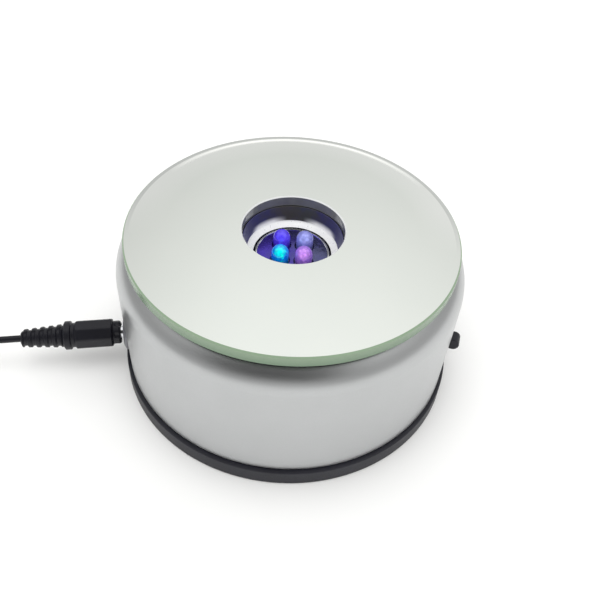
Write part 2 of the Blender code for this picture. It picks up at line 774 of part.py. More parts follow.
def build_battery_door():
    """The door, built about its hinge line at the back edge of the well's mouth."""
    hinge = Vector((0, WELL_Y[1], BASE_BOTTOM))
    bottom = 0.05
    front = WELL_Y[0] - hinge.y + DOOR_GAP
    low = (-WELL_X + DOOR_GAP, front, bottom)
    high = (WELL_X - DOOR_GAP, -DOOR_GAP, bottom + DOOR_THICK)
    door = block("battery_door", low, high, BLACK, pivot=hinge)
    for number, side in enumerate((-1, 1), 1):
        x0 = side * HOOK_X - HOOK_WIDTH / 2
        x1 = side * HOOK_X + HOOK_WIDTH / 2
        hook_low = (x0, HOOK_Y[0], HOOK_Z[0])
        hook_high = (x1, HOOK_Y[1], HOOK_Z[1])
        stem_low = (x0, HOOK_Y[0], bottom + DOOR_THICK - SINK)
        stem_high = (x1, -DOOR_GAP, HOOK_Z[0] + SINK)
        join(door, block(f"hook_{number}", hook_low, hook_high, None, pivot=hinge))
        join(door, block(f"hook_stem_{number}", stem_low, stem_high, None, pivot=hinge))
    for number in range(DOOR_GROOVES):
        y0 = front + 2.4 + DOOR_GROOVE_PITCH * number
        groove_low = (-DOOR_GROOVE_HALF_LENGTH, y0, -THROUGH)
        groove_high = (DOOR_GROOVE_HALF_LENGTH, y0 + DOOR_GROOVE_WIDTH, bottom + 0.4)
        cut(door, block(f"door_groove_{number + 1}", groove_low, groove_high, None, pivot=hinge))


def build_battery_contacts():
    middle_y = sum(WELL_Y) / 2
    lanes = [middle_y + CELL_PITCH * i for i in (-1, 0, 1)]
    plates = {
        "contact_bridge_left": (-1, lanes[0], lanes[1]),
        "contact_positive": (-1, lanes[2], lanes[2]),
        "contact_negative": (1, lanes[0], lanes[0]),
        "contact_bridge_right": (1, lanes[1], lanes[2]),
    }
    outer = WELL_X - 0.2
    inner = outer - CONTACT_THICK
    for name, (side, first, last) in plates.items():
        x0, x1 = sorted((side * inner, side * outer))
        low = (x0, first - CONTACT_HALF, CELL_Z - CONTACT_HALF)
        high = (x1, last + CONTACT_HALF, CELL_Z + CONTACT_HALF)
        block(name, low, high, BRASS)
    for number, (side, lane) in enumerate(((1, lanes[0]), (-1, lanes[1]), (1, lanes[2])), 1):
        start = side * (inner - SPRING_WIRE_R - GAP)
        coil = []
        for i in range(SPRING_STEPS + 1):
            share = i / SPRING_STEPS
            angle = TURN * SPRING_TURNS * share
            radius = SPRING_WIDE_R + (SPRING_NARROW_R - SPRING_WIDE_R) * share
            x = start - side * SPRING_LENGTH * share
            coil.append((x, lane + radius * math.cos(angle), CELL_Z + radius * math.sin(angle)))
        wire(f"contact_spring_{number}", coil, SPRING_WIRE_R, STEEL, 0)


# ---------------------------------------------------------------- light well
def build_light_well():
    collar_top = DECK_TOP - DECK_THICK - GAP
    ledge_top = LED_BOARD_Z[0] - GAP
    column = [
        (COLUMN_BORE_R, COLUMN_TOP),
        (COLUMN_R, COLUMN_TOP),
        (COLUMN_R, collar_top),
        (COLUMN_COLLAR_R, collar_top),
        (COLUMN_COLLAR_R, COLUMN_COLLAR_BOTTOM),
        (COLUMN_R, COLUMN_COLLAR_BOTTOM),
        (COLUMN_R, COLUMN_BOTTOM),
        (COLUMN_LEDGE_R, COLUMN_BOTTOM),
        (COLUMN_LEDGE_R, ledge_top),
        (COLUMN_BORE_R, ledge_top),
    ]
    turned("light_column", column, BLACK, steps=MEDIUM)

    cup_r = COLUMN_BORE_R - GAP
    cup = [
        (CUP_MOUTH_R, CUP_TOP),
        (CUP_FLANGE_R, CUP_TOP),
        (CUP_FLANGE_R, CUP_TOP - CUP_THICK),
        (cup_r, CUP_TOP - CUP_THICK),
        (cup_r, CUP_FLOOR_BOTTOM),
        (CUP_FLOOR_R, CUP_FLOOR_BOTTOM),
        (CUP_FLOOR_R, LIGHT_DISC_TOP),
        (CUP_BOWL_R, LIGHT_DISC_TOP + CUP_BOWL_RISE),
    ]
    turned("reflector_cup", cup, CHROME, steps=MEDIUM)

    skirt_r = COLUMN_BORE_R - 0.4
    underside = LIGHT_DISC_TOP - LIGHT_DISC_THICK
    disc_profile = [
        (0, LIGHT_DISC_TOP),
        (LIGHT_DISC_R, LIGHT_DISC_TOP),
        (LIGHT_DISC_R, LIGHT_DISC_SKIRT_TOP),
        (skirt_r, LIGHT_DISC_SKIRT_TOP),
        (skirt_r, LED_BOTTOM),
        (LIGHT_DISC_SKIRT_R, LED_BOTTOM),
        (LIGHT_DISC_SKIRT_R, underside),
        (0, underside),
    ]
    disc = turned("reflector_disc", disc_profile, CHROME, steps=MEDIUM)

    dome = LED_TOP - LED_R
    led = [(0, LED_TOP)]
    for turn in (30, 60, 90):
        angle = math.radians(turn)
        led.append((LED_R * math.sin(angle), dome + LED_R * math.cos(angle)))
    led += [
        (LED_R, LED_BOTTOM + LED_FLANGE_THICK),
        (LED_FLANGE_R, LED_BOTTOM + LED_FLANGE_THICK),
        (LED_FLANGE_R, LED_BOTTOM),
        (0, LED_BOTTOM),
    ]
    hole_ends = (underside - SINK, LIGHT_DISC_TOP + THROUGH)
    for number, angle in enumerate(LED_ANGLES, 1):
        spot = polar(LED_CIRCLE_R, angle)
        turned(f"led_{number}", led, LED_CLEAR, (spot.x, spot.y, 0), steps=TINY)
        cut(disc, rod(f"led_hole_{number}", LED_R + GAP, *hole_ends, spot, None))

    rod("led_board", skirt_r, *LED_BOARD_Z, (0, 0), WHITE_BOARD, MEDIUM)


# ---------------------------------------------------------------- turntable
def build_turntable():
    arris = GLASS_ARRIS
    hole_arris = 0.25
    glass = [
        (GLASS_HOLE_R + hole_arris, GLASS_TOP),
        (GLASS_R - arris, GLASS_TOP),
        (GLASS_R, GLASS_TOP - arris),
        (GLASS_R, GLASS_BOTTOM + arris),
        (GLASS_R - arris, GLASS_BOTTOM),
        (GLASS_HOLE_R, GLASS_BOTTOM),
        (GLASS_HOLE_R, GLASS_TOP - hole_arris),
    ]
    turned("mirror_glass", glass, MIRROR, steps=64)

    under = PLATTER_TOP - PLATTER_THICK
    edge_bottom = under - PLATTER_EDGE_DROP
    edge_inner_r = PLATTER_R - PLATTER_EDGE_WALL
    platter = [
        (PLATTER_STEP_R, PLATTER_TOP),
        (PLATTER_R - arris, PLATTER_TOP),
        (PLATTER_R, PLATTER_TOP - arris),
        (PLATTER_R, edge_bottom),
        (edge_inner_r, edge_bottom),
        (edge_inner_r, under),
        (PLATTER_SLEEVE_R, under),
        (PLATTER_SLEEVE_R, PLATTER_SLEEVE_BOTTOM),
        (PLATTER_BORE_R, PLATTER_SLEEVE_BOTTOM),
        (PLATTER_BORE_R, PLATTER_STEP_Z),
        (PLATTER_STEP_R, PLATTER_STEP_Z),
    ]
    turned("turntable_platter", platter, BLACK)

    washer = [
        (PLATTER_BORE_R, PLATTER_SLEEVE_BOTTOM - GAP),
        (PLATTER_SLEEVE_R, PLATTER_SLEEVE_BOTTOM - GAP),
        (PLATTER_SLEEVE_R, DECK_TOP + GAP),
        (PLATTER_BORE_R, DECK_TOP + GAP),
    ]
    turned("thrust_washer", washer, WHITE_PLASTIC, steps=MEDIUM)


# ---------------------------------------------------------------- electrics
def build_electrics():
    roof = WELL_TOP + WELL_WALL
    board_bottom = roof + BOARD_PEG_RISE + GAP
    board_top = board_bottom + BOARD_THICK
    low = (BOARD_X[0], BOARD_Y[0], board_bottom)
    high = (BOARD_X[1], BOARD_Y[1], board_top)
    block("control_board", low, high, GREEN_BOARD)
    block("control_chip", (3, -14, board_top + GAP), (11, -8, board_top + 2.0), BLACK)

    led_start = LED_BOARD_Z[0] - WIRE_R - 0.35
    led_end = board_top + WIRE_R + 0.45
    red = [(-3, -3, led_start), (-3, -3, 31), (-2, -6, 27), (0, -9, led_end)]
    black = [(3, -3, led_start), (3, -3, 31), (4, -4, 27), (6, -6, led_end)]
    wire("led_wire_red", red, WIRE_R, RED_WIRE)
    wire("led_wire_black", black, WIRE_R, BLACK_WIRE)

    under_motor = MOTOR_Z[0] - MOTOR_CAP_THICK - 1.4
    board_edge = board_bottom + BOARD_THICK / 2
    for name, x, look in (
        ("motor_wire_red", -7.5, RED_WIRE),
        ("motor_wire_black", -10.5, BLACK_WIRE),
    ):
        route = [
            (x, 20.5, under_motor),
            (x, 16, under_motor),
            (x + 1, 14, under_motor + 2),
            (x + 1, 14, roof),
            (x + 1, 12, roof + 1.2),
            (x + 1, 6, roof + 1.6),
            (x + 1, BOARD_Y[1] + 0.9, board_edge),
        ]
        wire(name, route, WIRE_R, look)

    build_power_wires(roof + WIRE_R + 0.45, board_edge)


def terminals(angle, reach, spread):
    """Two wire ends side by side behind a part set in the wall: the front one, then the back one."""
    middle = polar(reach, angle)
    across = polar(spread, angle + math.pi / 2)
    return sorted((middle + across, middle - across), key=lambda spot: spot.y)


def build_power_wires(over_roof, board_edge):
    """Jack to board, jack to switch and switch to board: the switch breaks the supply."""
    jack_front, jack_back = terminals(JACK_ANGLE, JACK_BACK - SINK, 1.6)
    switch_front, switch_back = terminals(SWITCH_ANGLE, SWITCH_BODY_REACH[0] - SINK, 2.0)
    inward = polar(-2.0, SWITCH_ANGLE)
    beside_well = -WELL_X - WELL_WALL - 2.2
    on_roof = beside_well + 1.6
    front_lane = BOARD_Y[0] - 2.6
    left_end = BOARD_X[0] - WIRE_R - GAP
    right_end = BOARD_X[1] + WIRE_R + GAP

    negative = [
        (jack_back.x, jack_back.y, JACK_Z),
        (beside_well, jack_back.y, JACK_Z + 0.6),
        (on_roof, jack_back.y, over_roof),
        (left_end - 1.2, jack_back.y, over_roof),
        (left_end, jack_back.y, board_edge),
    ]
    wire("jack_wire_black", negative, WIRE_R, BLACK_WIRE)

    near_switch = switch_front + inward
    positive = [
        (jack_front.x, jack_front.y, JACK_Z),
        (beside_well, jack_front.y, JACK_Z + 0.6),
        (on_roof, jack_front.y - 1.5, over_roof),
        (BOARD_X[0] - 6, front_lane, over_roof),
        (BOARD_X[1] + 2, front_lane, over_roof),
        (near_switch.x - 2.5, near_switch.y - 3, SWITCH_Z - 1.5),
        (near_switch.x, near_switch.y, SWITCH_Z),
        (switch_front.x, switch_front.y, SWITCH_Z),
    ]
    wire("jack_wire_red", positive, WIRE_R, RED_WIRE)

    near_switch = switch_back + inward
    switched = [
        (switch_back.x, switch_back.y, SWITCH_Z),
        (near_switch.x, near_switch.y, SWITCH_Z),
        (near_switch.x - 2.5, near_switch.y, SWITCH_Z - 0.8),
        (right_end + 2, near_switch.y, board_edge + 0.4),
        (right_end, near_switch.y, board_edge),
    ]
    wire("switch_wire_red", switched, WIRE_R, RED_WIRE)


def build_jack():
    at = (0, 0, JACK_Z)
    bezel_back = JACK_FRONT - JACK_BEZEL_THICK
    edge = 0.4
    jack = [
        (0, JACK_BORE_END),
        (JACK_BORE_R, JACK_BORE_END),
        (JACK_BORE_R, JACK_FRONT),
        (JACK_BEZEL_R - edge, JACK_FRONT),
        (JACK_BEZEL_R, JACK_FRONT - edge),
        (JACK_BEZEL_R, bezel_back),
        (JACK_THREAD_R, bezel_back),
        (JACK_THREAD_R, JACK_THREAD_END),
        (JACK_BACK_R, JACK_THREAD_END),
        (JACK_BACK_R, JACK_BACK),
        (0, JACK_BACK),
    ]
    turned("dc_jack", jack, BLACK, at, RADIAL_JACK, SMALL)
    near, far = JACK_NUT_REACH
    nut = [(JACK_NUT_HOLE_R, far), (JACK_NUT_R, far), (JACK_NUT_R, near), (JACK_NUT_HOLE_R, near)]
    turned("jack_nut", nut, STEEL, at, RADIAL_JACK, TINY)
    pin_back = JACK_BORE_END + GAP
    pin = [
        (0, JACK_PIN_TIP),
        (JACK_PIN_R, JACK_PIN_TIP - SINK),
        (JACK_PIN_R, pin_back),
        (0, pin_back),
    ]
    turned("jack_pin", pin, BRASS, at, RADIAL_JACK, TINY)


def relief_outline():
    """The ribbed strain relief's outline from the cable towards the collar."""
    outline = []
    for i in range(RIBS):
        top = RELIEF_END - RIB_PITCH * i
        rib_r = RIB_END_R + RIB_GROWTH * i
        valley_r = rib_r - RIB_DEPTH
        outline += [
            (rib_r, top),
            (rib_r, top - RIB_WIDTH),
            (valley_r, top - RIB_WIDTH),
            (valley_r, top - RIB_PITCH),
        ]
    return outline


def build_plug():
    at = (0, 0, JACK_Z)
    cable_hole_r = CABLE_R + GAP
    cable_hole_end = CABLE_START - 0.4
    groove_near, groove_far = PLUG_GROOVE
    body = [(0, cable_hole_end), (cable_hole_r, cable_hole_end), (cable_hole_r, RELIEF_END)]
    body += relief_outline()
    body += [
        (PLUG_R, PLUG_COLLAR_END),
        (PLUG_R, groove_far),
        (PLUG_GROOVE_R, groove_far - 0.3),
        (PLUG_GROOVE_R, groove_near + 0.6),
        (PLUG_R, groove_near),
        (PLUG_R, PLUG_SHOULDER),
        (PLUG_NOSE_R, PLUG_SHOULDER - 0.7),
        (PLUG_NOSE_R, PLUG_FACE + GAP),
        (PLUG_NOSE_R - GAP, PLUG_FACE),
        (PLUG_BORE_R, PLUG_FACE),
        (PLUG_BORE_R, PLUG_BORE_END),
        (0, PLUG_BORE_END),
    ]
    turned("plug_body", body, CABLE_PVC, at, RADIAL_JACK, SMALL)
    near, far = PLUG_BARREL_REACH
    inner, outer = PLUG_BARREL_BORE_R, PLUG_BARREL_R
    barrel = [(inner, far), (outer, far), (outer, near), (inner, near)]
    turned("plug_barrel", barrel, CHROME, at, RADIAL_JACK, SMALL)


def build_cable():
    """The cable leaves its hole in the plug level and eases down to lie on the table."""
    outward = Vector((math.cos(JACK_ANGLE), math.sin(JACK_ANGLE), 0))
    rest_z = CABLE_R + 0.1
    bend_start = RELIEF_END + 0.7
    path = [outward * CABLE_START + Vector((0, 0, JACK_Z))]
    steps = 10
    sag_start, sag_end = CABLE_SAG
    for i in range(steps + 1):
        reach = bend_start + (CABLE_END - bend_start) * i / steps
        share = min(max((reach - sag_start) / (sag_end - sag_start), 0), 1)
        ease = share * share * (3 - 2 * share)
        height = JACK_Z + (rest_z - JACK_Z) * ease
        path.append(outward * reach + Vector((0, 0, height)))
    wire("power_cable", path, CABLE_R, CABLE_PVC, 1)


def build_switch():
    at = (0, 0, SWITCH_Z)
    near, far = SWITCH_BODY_REACH
    low = (near, -SWITCH_BODY_HALF_WIDTH, -SWITCH_BODY_HALF_HEIGHT)
    high = (far, SWITCH_BODY_HALF_WIDTH, SWITCH_BODY_HALF_HEIGHT)
    body = block("switch_body", low, high, BLACK, RADIAL_SWITCH, at)
    half_room, half_height = switch_room(GAP)
    low = (SWITCH_ROOM_END, -half_room, -half_height)
    high = (far + THROUGH, half_room, half_height)
    cut(body, block("switch_room", low, high, None, RADIAL_SWITCH, at))
    half = KNOB_SIZE / 2
    low = (KNOB_REACH[0], -half, -half)
    high = (KNOB_REACH[1], half, half)
    knob = block("switch_knob", low, high, BLACK, RADIAL_SWITCH, at)
    soften(knob, 0.5)


build_base()
build_battery_door()
build_battery_contacts()
build_shell()
build_light_well()
build_turntable()
build_gearbox()
build_motor()
build_gear_train()
build_electrics()
build_jack()
build_plug()
build_cable()
build_switch()
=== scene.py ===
"""Looks of the turntable display stand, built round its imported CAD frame."""

import json
import math

import bmesh
import bpy
from mathutils import Matrix, Vector


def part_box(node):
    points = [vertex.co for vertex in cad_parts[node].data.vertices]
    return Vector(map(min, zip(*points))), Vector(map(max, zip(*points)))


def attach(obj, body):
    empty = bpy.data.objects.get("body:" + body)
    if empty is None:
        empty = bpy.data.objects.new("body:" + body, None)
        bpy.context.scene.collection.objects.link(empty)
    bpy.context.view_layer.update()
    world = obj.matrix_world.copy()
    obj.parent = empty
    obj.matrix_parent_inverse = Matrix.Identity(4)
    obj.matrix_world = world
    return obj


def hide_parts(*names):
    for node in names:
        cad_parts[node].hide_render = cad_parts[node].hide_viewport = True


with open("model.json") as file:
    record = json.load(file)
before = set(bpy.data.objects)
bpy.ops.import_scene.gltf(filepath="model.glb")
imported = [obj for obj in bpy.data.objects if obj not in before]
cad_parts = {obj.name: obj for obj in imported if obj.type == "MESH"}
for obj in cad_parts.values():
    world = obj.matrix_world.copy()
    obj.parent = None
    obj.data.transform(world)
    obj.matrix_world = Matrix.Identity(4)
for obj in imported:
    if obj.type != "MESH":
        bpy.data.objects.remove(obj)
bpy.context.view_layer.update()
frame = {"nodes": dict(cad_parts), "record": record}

# Lengths are in millimetres, and the helpers turn them into metres. FINE, MEDIUM and SMALL are the steps
# round a turned shape, and WELD is the distance, in metres, within which points are merged.
MM = 0.001
TURN = 2 * math.pi
FINE = 256
MEDIUM = 96
SMALL = 48
WELD = 1e-7

RECORD = frame["record"]
NODES = frame["nodes"]
BODY_OF = {node: body for body, nodes in RECORD["behaviour"]["bodies"].items() for node in nodes}
SLOT_OF = {part["node"]: part["material_slot"] for part in RECORD["subparts"]}
JOINTS = {joint["name"]: joint for joint in RECORD["behaviour"]["joints"]}


# ---------------------------------------------------------------- reading the frame
def box(node):
    """A CAD node's lowest and highest corners in millimetres."""
    low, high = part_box(node)
    return low / MM, high / MM


def centre(node):
    low, high = box(node)
    return (low + high) / 2


def span(node, direction):
    """The nearest and farthest that a CAD node reaches along a direction, in millimetres."""
    reach = [vertex.co.dot(direction) / MM for vertex in NODES[node].data.vertices]
    return min(reach), max(reach)


def bore(node):
    """The radius of the hole that a CAD node leaves round the stand's axis."""
    return min(vertex.co.xy.length for vertex in NODES[node].data.vertices) / MM


JACK_OUT = Vector(JOINTS["plug_pull"]["axis"])
JACK_Z = centre("dc_jack").z
SWITCH_ALONG = Vector(JOINTS["switch_slide"]["axis"])
SWITCH_OUT = SWITCH_ALONG.cross(Vector((0, 0, 1)))
SWITCH_Z = centre("switch_knob").z

GLASS_LOW, GLASS_HIGH = box("mirror_glass")
DRUM_LOW, DRUM_HIGH = box("body_shell")
BASE_LOW, BASE_HIGH = box("base_plate")
BASE_RIM_TOP = 5.5
BASE_FLOOR_TOP = 2.5
BELOW_BASE = -1
HOOK_X = 13.0
LED_SHINE_Z = (41.4, 43.4)
# Heights over which the painted white highlight low on the cup's wall fades out.
WELL_PAINTED_WHITE_Z = (42.6, 44.0)


# ---------------------------------------------------------------- mesh helpers
def rounded(corners, closed=True, arc_steps=5):
    """Points of an outline whose corners (x, y, radius) are rounded where they give a radius."""
    points = []
    count = len(corners)
    for i, corner in enumerate(corners):
        here = Vector(corner[:2])
        radius = corner[2] if len(corner) > 2 else 0
        if radius == 0 or (not closed and i in (0, count - 1)):
            points.append(here)
            continue
        back = Vector(corners[i - 1][:2]) - here
        ahead = Vector(corners[(i + 1) % count][:2]) - here
        half = back.angle(ahead) / 2
        run = min(radius / math.tan(half), 0.48 * back.length, 0.48 * ahead.length)
        radius = run * math.tan(half)
        middle = here + (back.normalized() + ahead.normalized()).normalized() * radius / math.sin(half)
        start = here + back.normalized() * run - middle
        end = here + ahead.normalized() * run - middle
        sweep = start.angle_signed(end)
        for step in range(arc_steps + 1):
            turned = start.copy()
            turned.rotate(Matrix.Rotation(-sweep * step / arc_steps, 2))
            points.append(middle + turned)
    return points


def place_object(name, data):
    """Add a new object to the scene."""
    made = bpy.data.objects.new(name, data)
    bpy.context.scene.collection.objects.link(made)
    return made


def opened(mesh):
    """A bmesh of a mesh."""
    work = bmesh.new()
    work.from_mesh(mesh)
    return work


def evaluated(made):
    """The mesh that an object's curve or modifiers give."""
    bpy.context.view_layer.update()
    return bpy.data.meshes.new_from_object(made.evaluated_get(bpy.context.evaluated_depsgraph_get()))


def mesh_from(work, name):
    """Weld a bmesh and turn it into a mesh whose faces point out."""
    bmesh.ops.remove_doubles(work, verts=work.verts, dist=WELD)
    bmesh.ops.recalc_face_normals(work, faces=work.faces)
    mesh = bpy.data.meshes.new(name)
    work.to_mesh(mesh)
    work.free()
    return mesh


def lathe(name, corners, steps=FINE, arc_steps=5):
    """A solid turned about Z from (radius, height, rounding) corners. It may start and end on the axis."""
    open_ended = corners[0][0] == 0 and corners[-1][0] == 0
    outline = rounded(corners, not open_ended, arc_steps)
    work = bmesh.new()
    verts = [work.verts.new((p.x * MM, 0, p.y * MM)) for p in outline]
    pairs = list(zip(verts, verts[1:] + verts[:1]))
    edges = [work.edges.new(pair) for pair in (pairs[:-1] if open_ended else pairs)]
    bmesh.ops.spin(
        work, geom=verts + edges, cent=(0, 0, 0), axis=(0, 0, 1), angle=TURN, steps=steps, use_merge=True
    )
    return mesh_from(work, name)


def rod(radius, low, high, ease=0.0, low_ease=0.0):
    """The corners of a round rod, for lathe."""
    return [(0, low), (radius, low, low_ease), (radius, high, ease), (0, high)]


def prism(name, outline, low, high):
    """An outline of (x, y) points extruded along Z."""
    work = bmesh.new()
    bottom = [work.verts.new((x * MM, y * MM, low * MM)) for x, y in outline]
    face = work.faces.new(bottom)
    raised = bmesh.ops.extrude_face_region(work, geom=[face])
    lifted = [item for item in raised["geom"] if isinstance(item, bmesh.types.BMVert)]
    bmesh.ops.translate(work, verts=lifted, vec=(0, 0, (high - low) * MM))
    return mesh_from(work, name)


def rounded_box(name, low, high, radius, segments=3):
    """A box between two corners with its edges rounded."""
    work = bmesh.new()
    bmesh.ops.create_cube(work, size=1)
    low, high = Vector(low) * MM, Vector(high) * MM
    bmesh.ops.scale(work, vec=high - low, verts=work.verts)
    bmesh.ops.translate(work, vec=(low + high) / 2, verts=work.verts)
    if radius:
        bmesh.ops.bevel(
            work, geom=work.edges[:], offset=radius * MM, segments=segments, profile=0.5, affect="EDGES"
        )
    return mesh_from(work, name)


def tube(name, points, radius, sides):
    """A round bar through points, with closed ends."""
    curve = bpy.data.curves.new(name, "CURVE")
    curve.dimensions = "3D"
    curve.bevel_depth = radius * MM
    curve.bevel_resolution = sides // 4 - 1
    curve.use_fill_caps = True
    spline = curve.splines.new("POLY")
    spline.points.add(len(points) - 1)
    for point, at in zip(spline.points, points):
        point.co = (*(Vector(at) * MM), 1)
    maker = place_object(name, curve)
    mesh = evaluated(maker)
    bpy.data.objects.remove(maker)
    bpy.data.curves.remove(curve)
    work = opened(mesh)
    bpy.data.meshes.remove(mesh)
    return mesh_from(work, name)


def moved(mesh, x, y):
    mesh.transform(Matrix.Translation((x * MM, y * MM, 0)))
    return mesh


def at_jack(mesh):
    """Turn a mesh made along Z so that it runs outwards along the jack's axis."""
    mesh.transform(jack_frame())
    return mesh


def jack_frame():
    """Local Z along the jack's axis, with the origin on the stand's axis."""
    return Matrix.Translation((0, 0, JACK_Z * MM)) @ JACK_OUT.to_track_quat("Z", "Y").to_matrix().to_4x4()


def upright(corners, spot, steps=SMALL, name="upright"):
    """A turned shape that stands over a spot of the plan."""
    return moved(lathe(name, corners, steps), spot.x, spot.y)


def carved(mesh, cuts=(), joins=()):
    """A mesh with others joined to it and then others cut out of it."""
    target = place_object(mesh.name, mesh)
    tools = []
    for operation, others in (("UNION", joins), ("DIFFERENCE", cuts)):
        for other in others:
            tools.append(place_object("tool", other))
            step = target.modifiers.new(operation, "BOOLEAN")
            step.operation = operation
            step.solver = "EXACT"
            step.object = tools[-1]
    result = evaluated(target)
    for used in tools + [target]:
        bpy.data.objects.remove(used)
    work = opened(result)
    bmesh.ops.dissolve_degenerate(work, edges=work.edges, dist=WELD)
    return mesh_from(work, mesh.name)


def stand_in(name, mesh, node, looks=None, sharp=35):
    """Add a finer piece in place of a CAD node, on the node's body and in its material slot. Its flat faces
    keep flat shading beside rounded edges."""
    made = place_object(name, mesh)
    for look in looks or [LOOKS[SLOT_OF[node]]]:
        mesh.materials.append(look)
    mesh.shade_smooth()
    mesh.set_sharp_from_angle(angle=math.radians(sharp))
    weighted = made.modifiers.new("Flat faces", "WEIGHTED_NORMAL")
    weighted.keep_sharp = True
    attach(made, BODY_OF[node])
    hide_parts(node)
    return made


# ---------------------------------------------------------------- material helpers
def add_node(tree, kind, links=None, **settings):
    """Add a shader node. Its inputs are set to values or linked to the outputs of other nodes."""
    node = tree.nodes.new(kind)
    for key, value in settings.items():
        setattr(node, key, value)
    for socket, value in (links or {}).items():
        if isinstance(value, bpy.types.NodeSocket):
            tree.links.new(value, node.inputs[socket])
        else:
            node.inputs[socket].default_value = value
    return node


class Look:
    """A Principled material that is built up from patterns in object space."""

    def __init__(self, name, **values):
        self.material = bpy.data.materials.new(name)
        self.material.use_nodes = True
        self.tree = self.material.node_tree
        self.shader = self.tree.nodes["Principled BSDF"]
        self.place = self.add("ShaderNodeTexCoord").outputs["Object"]
        for socket, value in values.items():
            self.shader.inputs[socket.replace("_", " ")].default_value = value

    def add(self, kind, links=None, **settings):
        return add_node(self.tree, kind, links, **settings)

    def set(self, socket, pattern):
        self.tree.links.new(pattern, self.shader.inputs[socket])

    def math(self, operation, *values):
        return self.add("ShaderNodeMath", dict(enumerate(values)), operation=operation).outputs[0]

    def vector_math(self, operation, *values):
        return self.add("ShaderNodeVectorMath", dict(enumerate(values)), operation=operation).outputs

    def along(self, axis):
        """How far along an axis a point of the piece is, in metres."""
        return self.add("ShaderNodeSeparateXYZ", {"Vector": self.place}).outputs[axis]

    def noise(self, size, detail=3.0, roughness=0.5):
        """Noise whose grains are about size millimetres across."""
        values = {"Vector": self.place, "Scale": 1 / (size * MM), "Detail": detail, "Roughness": roughness}
        return self.add("ShaderNodeTexNoise", values).outputs["Fac"]

    def cells(self, size, output):
        """Voronoi cells about size millimetres across."""
        values = {"Vector": self.place, "Scale": 1 / (size * MM)}
        return self.add("ShaderNodeTexVoronoi", values).outputs[output]

    def spread(self, pattern, low, high, start=0.3, end=0.7):
        """Map a pattern between start and end to a range of values."""
        values = {"Value": pattern, "From Min": start, "From Max": end, "To Min": low, "To Max": high}
        return self.add("ShaderNodeMapRange", values).outputs["Result"]

    def rise(self, pattern, start, end):
        """A pattern's share of the way from start to end, which may be the lower of the two."""
        return self.spread(pattern, 0.0, 1.0, start, end)

    def blend(self, pattern, first, second):
        """Mix two colours by a pattern. The first may be a pattern of colour itself."""
        first = first if isinstance(first, bpy.types.NodeSocket) else (*first, 1)
        values = {"Factor": pattern, "A": first, "B": (*second, 1)}
        return self.add("ShaderNodeMix", values, data_type="RGBA").outputs["Result"]

    def colour(self, pattern, first, second):
        self.set("Base Color", self.blend(pattern, first, second))

    def rough(self, pattern, low, high):
        self.set("Roughness", self.spread(pattern, low, high))

    def relief(self, pattern, depth, strength=1.0):
        """Bumps that are depth millimetres high."""
        values = {"Height": pattern, "Distance": depth * MM, "Strength": strength}
        self.set("Normal", self.add("ShaderNodeBump", values).outputs["Normal"])


# ---------------------------------------------------------------- materials
def silver_paint():
    """Satin silver paint on plastic: fine metal flakes under a thin lacquer."""
    look = Look("silver_paint", Metallic=0.94, Coat_Weight=0.08, Coat_Roughness=0.2)
    flakes = look.add("ShaderNodeSeparateColor", {"Color": look.cells(0.12, "Color")}).outputs["Red"]
    tone = look.spread(look.math("MULTIPLY_ADD", flakes, 0.5, look.noise(16, 2)), 0, 1, 0.4, 1.1)
    look.colour(tone, (0.488, 0.498, 0.502), (0.520, 0.528, 0.534))
    look.rough(look.noise(0.6), 0.30, 0.36)
    look.relief(look.noise(0.9, 2), 0.0015, 0.5)
    return look.material


def moulded_black(name="moulded_black", tone=0.013, rough=(0.42, 0.56), grain=0.35, depth=0.012):
    """Black moulded plastic with a fine spark-eroded grain."""
    look = Look(name, Specular_IOR_Level=0.36)
    fine = look.noise(grain, 4, 0.6)
    wide = look.noise(9, 2)
    dark, light = tone * 0.75, tone * 1.35
    look.colour(wide, (dark, dark, dark * 1.5), (light, light, light * 1.5))
    look.rough(fine, *rough)
    look.relief(fine, depth)
    return look.material


def painted_rim_light_and_shade(look):
    """Painted light and shade for the cut edge as it shows through the glass on the side away from the
    viewer: a painted grey rim, a painted white highlight line inside it and a faint painted glow inside that."""
    geometry = look.add("ShaderNodeNewGeometry").outputs
    flat = look.vector_math("MULTIPLY", geometry["Position"], (1, 1, 0))[0]
    radius = look.vector_math("LENGTH", flat)["Value"]
    outward = look.vector_math("NORMALIZE", flat)[0]
    facing = look.vector_math("DOT_PRODUCT", outward, geometry["Incoming"])["Value"]

    def inward(start, full, level=1.0):
        """Rises to a level between two distances in from the rim."""
        return look.spread(radius, 0.0, level, (GLASS_HIGH.x - start) * MM, (GLASS_HIGH.x - full) * MM)

    across = look.rise(facing, -0.1, -0.4)
    far_away = look.spread(facing, 0.0, 0.78, -0.56, -0.8)
    # The white line is a painted highlight, the grey rim a painted view of the edge through the glass, and
    # the glow painted light.
    painted_highlight_ring = look.math("MULTIPLY", inward(1.6, 2.1), inward(3.4, 2.6))
    grey = look.math("MULTIPLY", inward(1.7, 1.4), across)
    white = look.math("MULTIPLY", painted_highlight_ring, far_away)
    glow = look.math("MULTIPLY", inward(11, 2.5, 0.6), across)
    return grey, white, glow


def mirror_face():
    """Silvered glass seen through its green body, with faint polishing haze, and a painted grey rim, painted
    white highlight line and painted glow near the far edge.
    """
    look = Look("mirror_face", Coat_Weight=0.3, Coat_Roughness=0.02)
    silvered = look.blend(look.noise(22, 3), (0.765, 0.80, 0.76), (0.80, 0.825, 0.785))
    grey, white, glow = painted_rim_light_and_shade(look)
    # The painted grey rim, painted highlight line and painted glow are mixed over the silvered colour.
    edged = look.blend(grey, look.blend(glow, silvered, (0.93, 0.94, 0.92)), (0.66, 0.68, 0.66))
    look.colour(white, edged, (0.86, 0.86, 0.83))
    look.set("Metallic", look.math("SUBTRACT", 1.0, white))
    look.rough(look.noise(0.8, 5, 0.7), 0.03, 0.075)
    look.relief(look.noise(30, 1), 0.002)
    return look.material


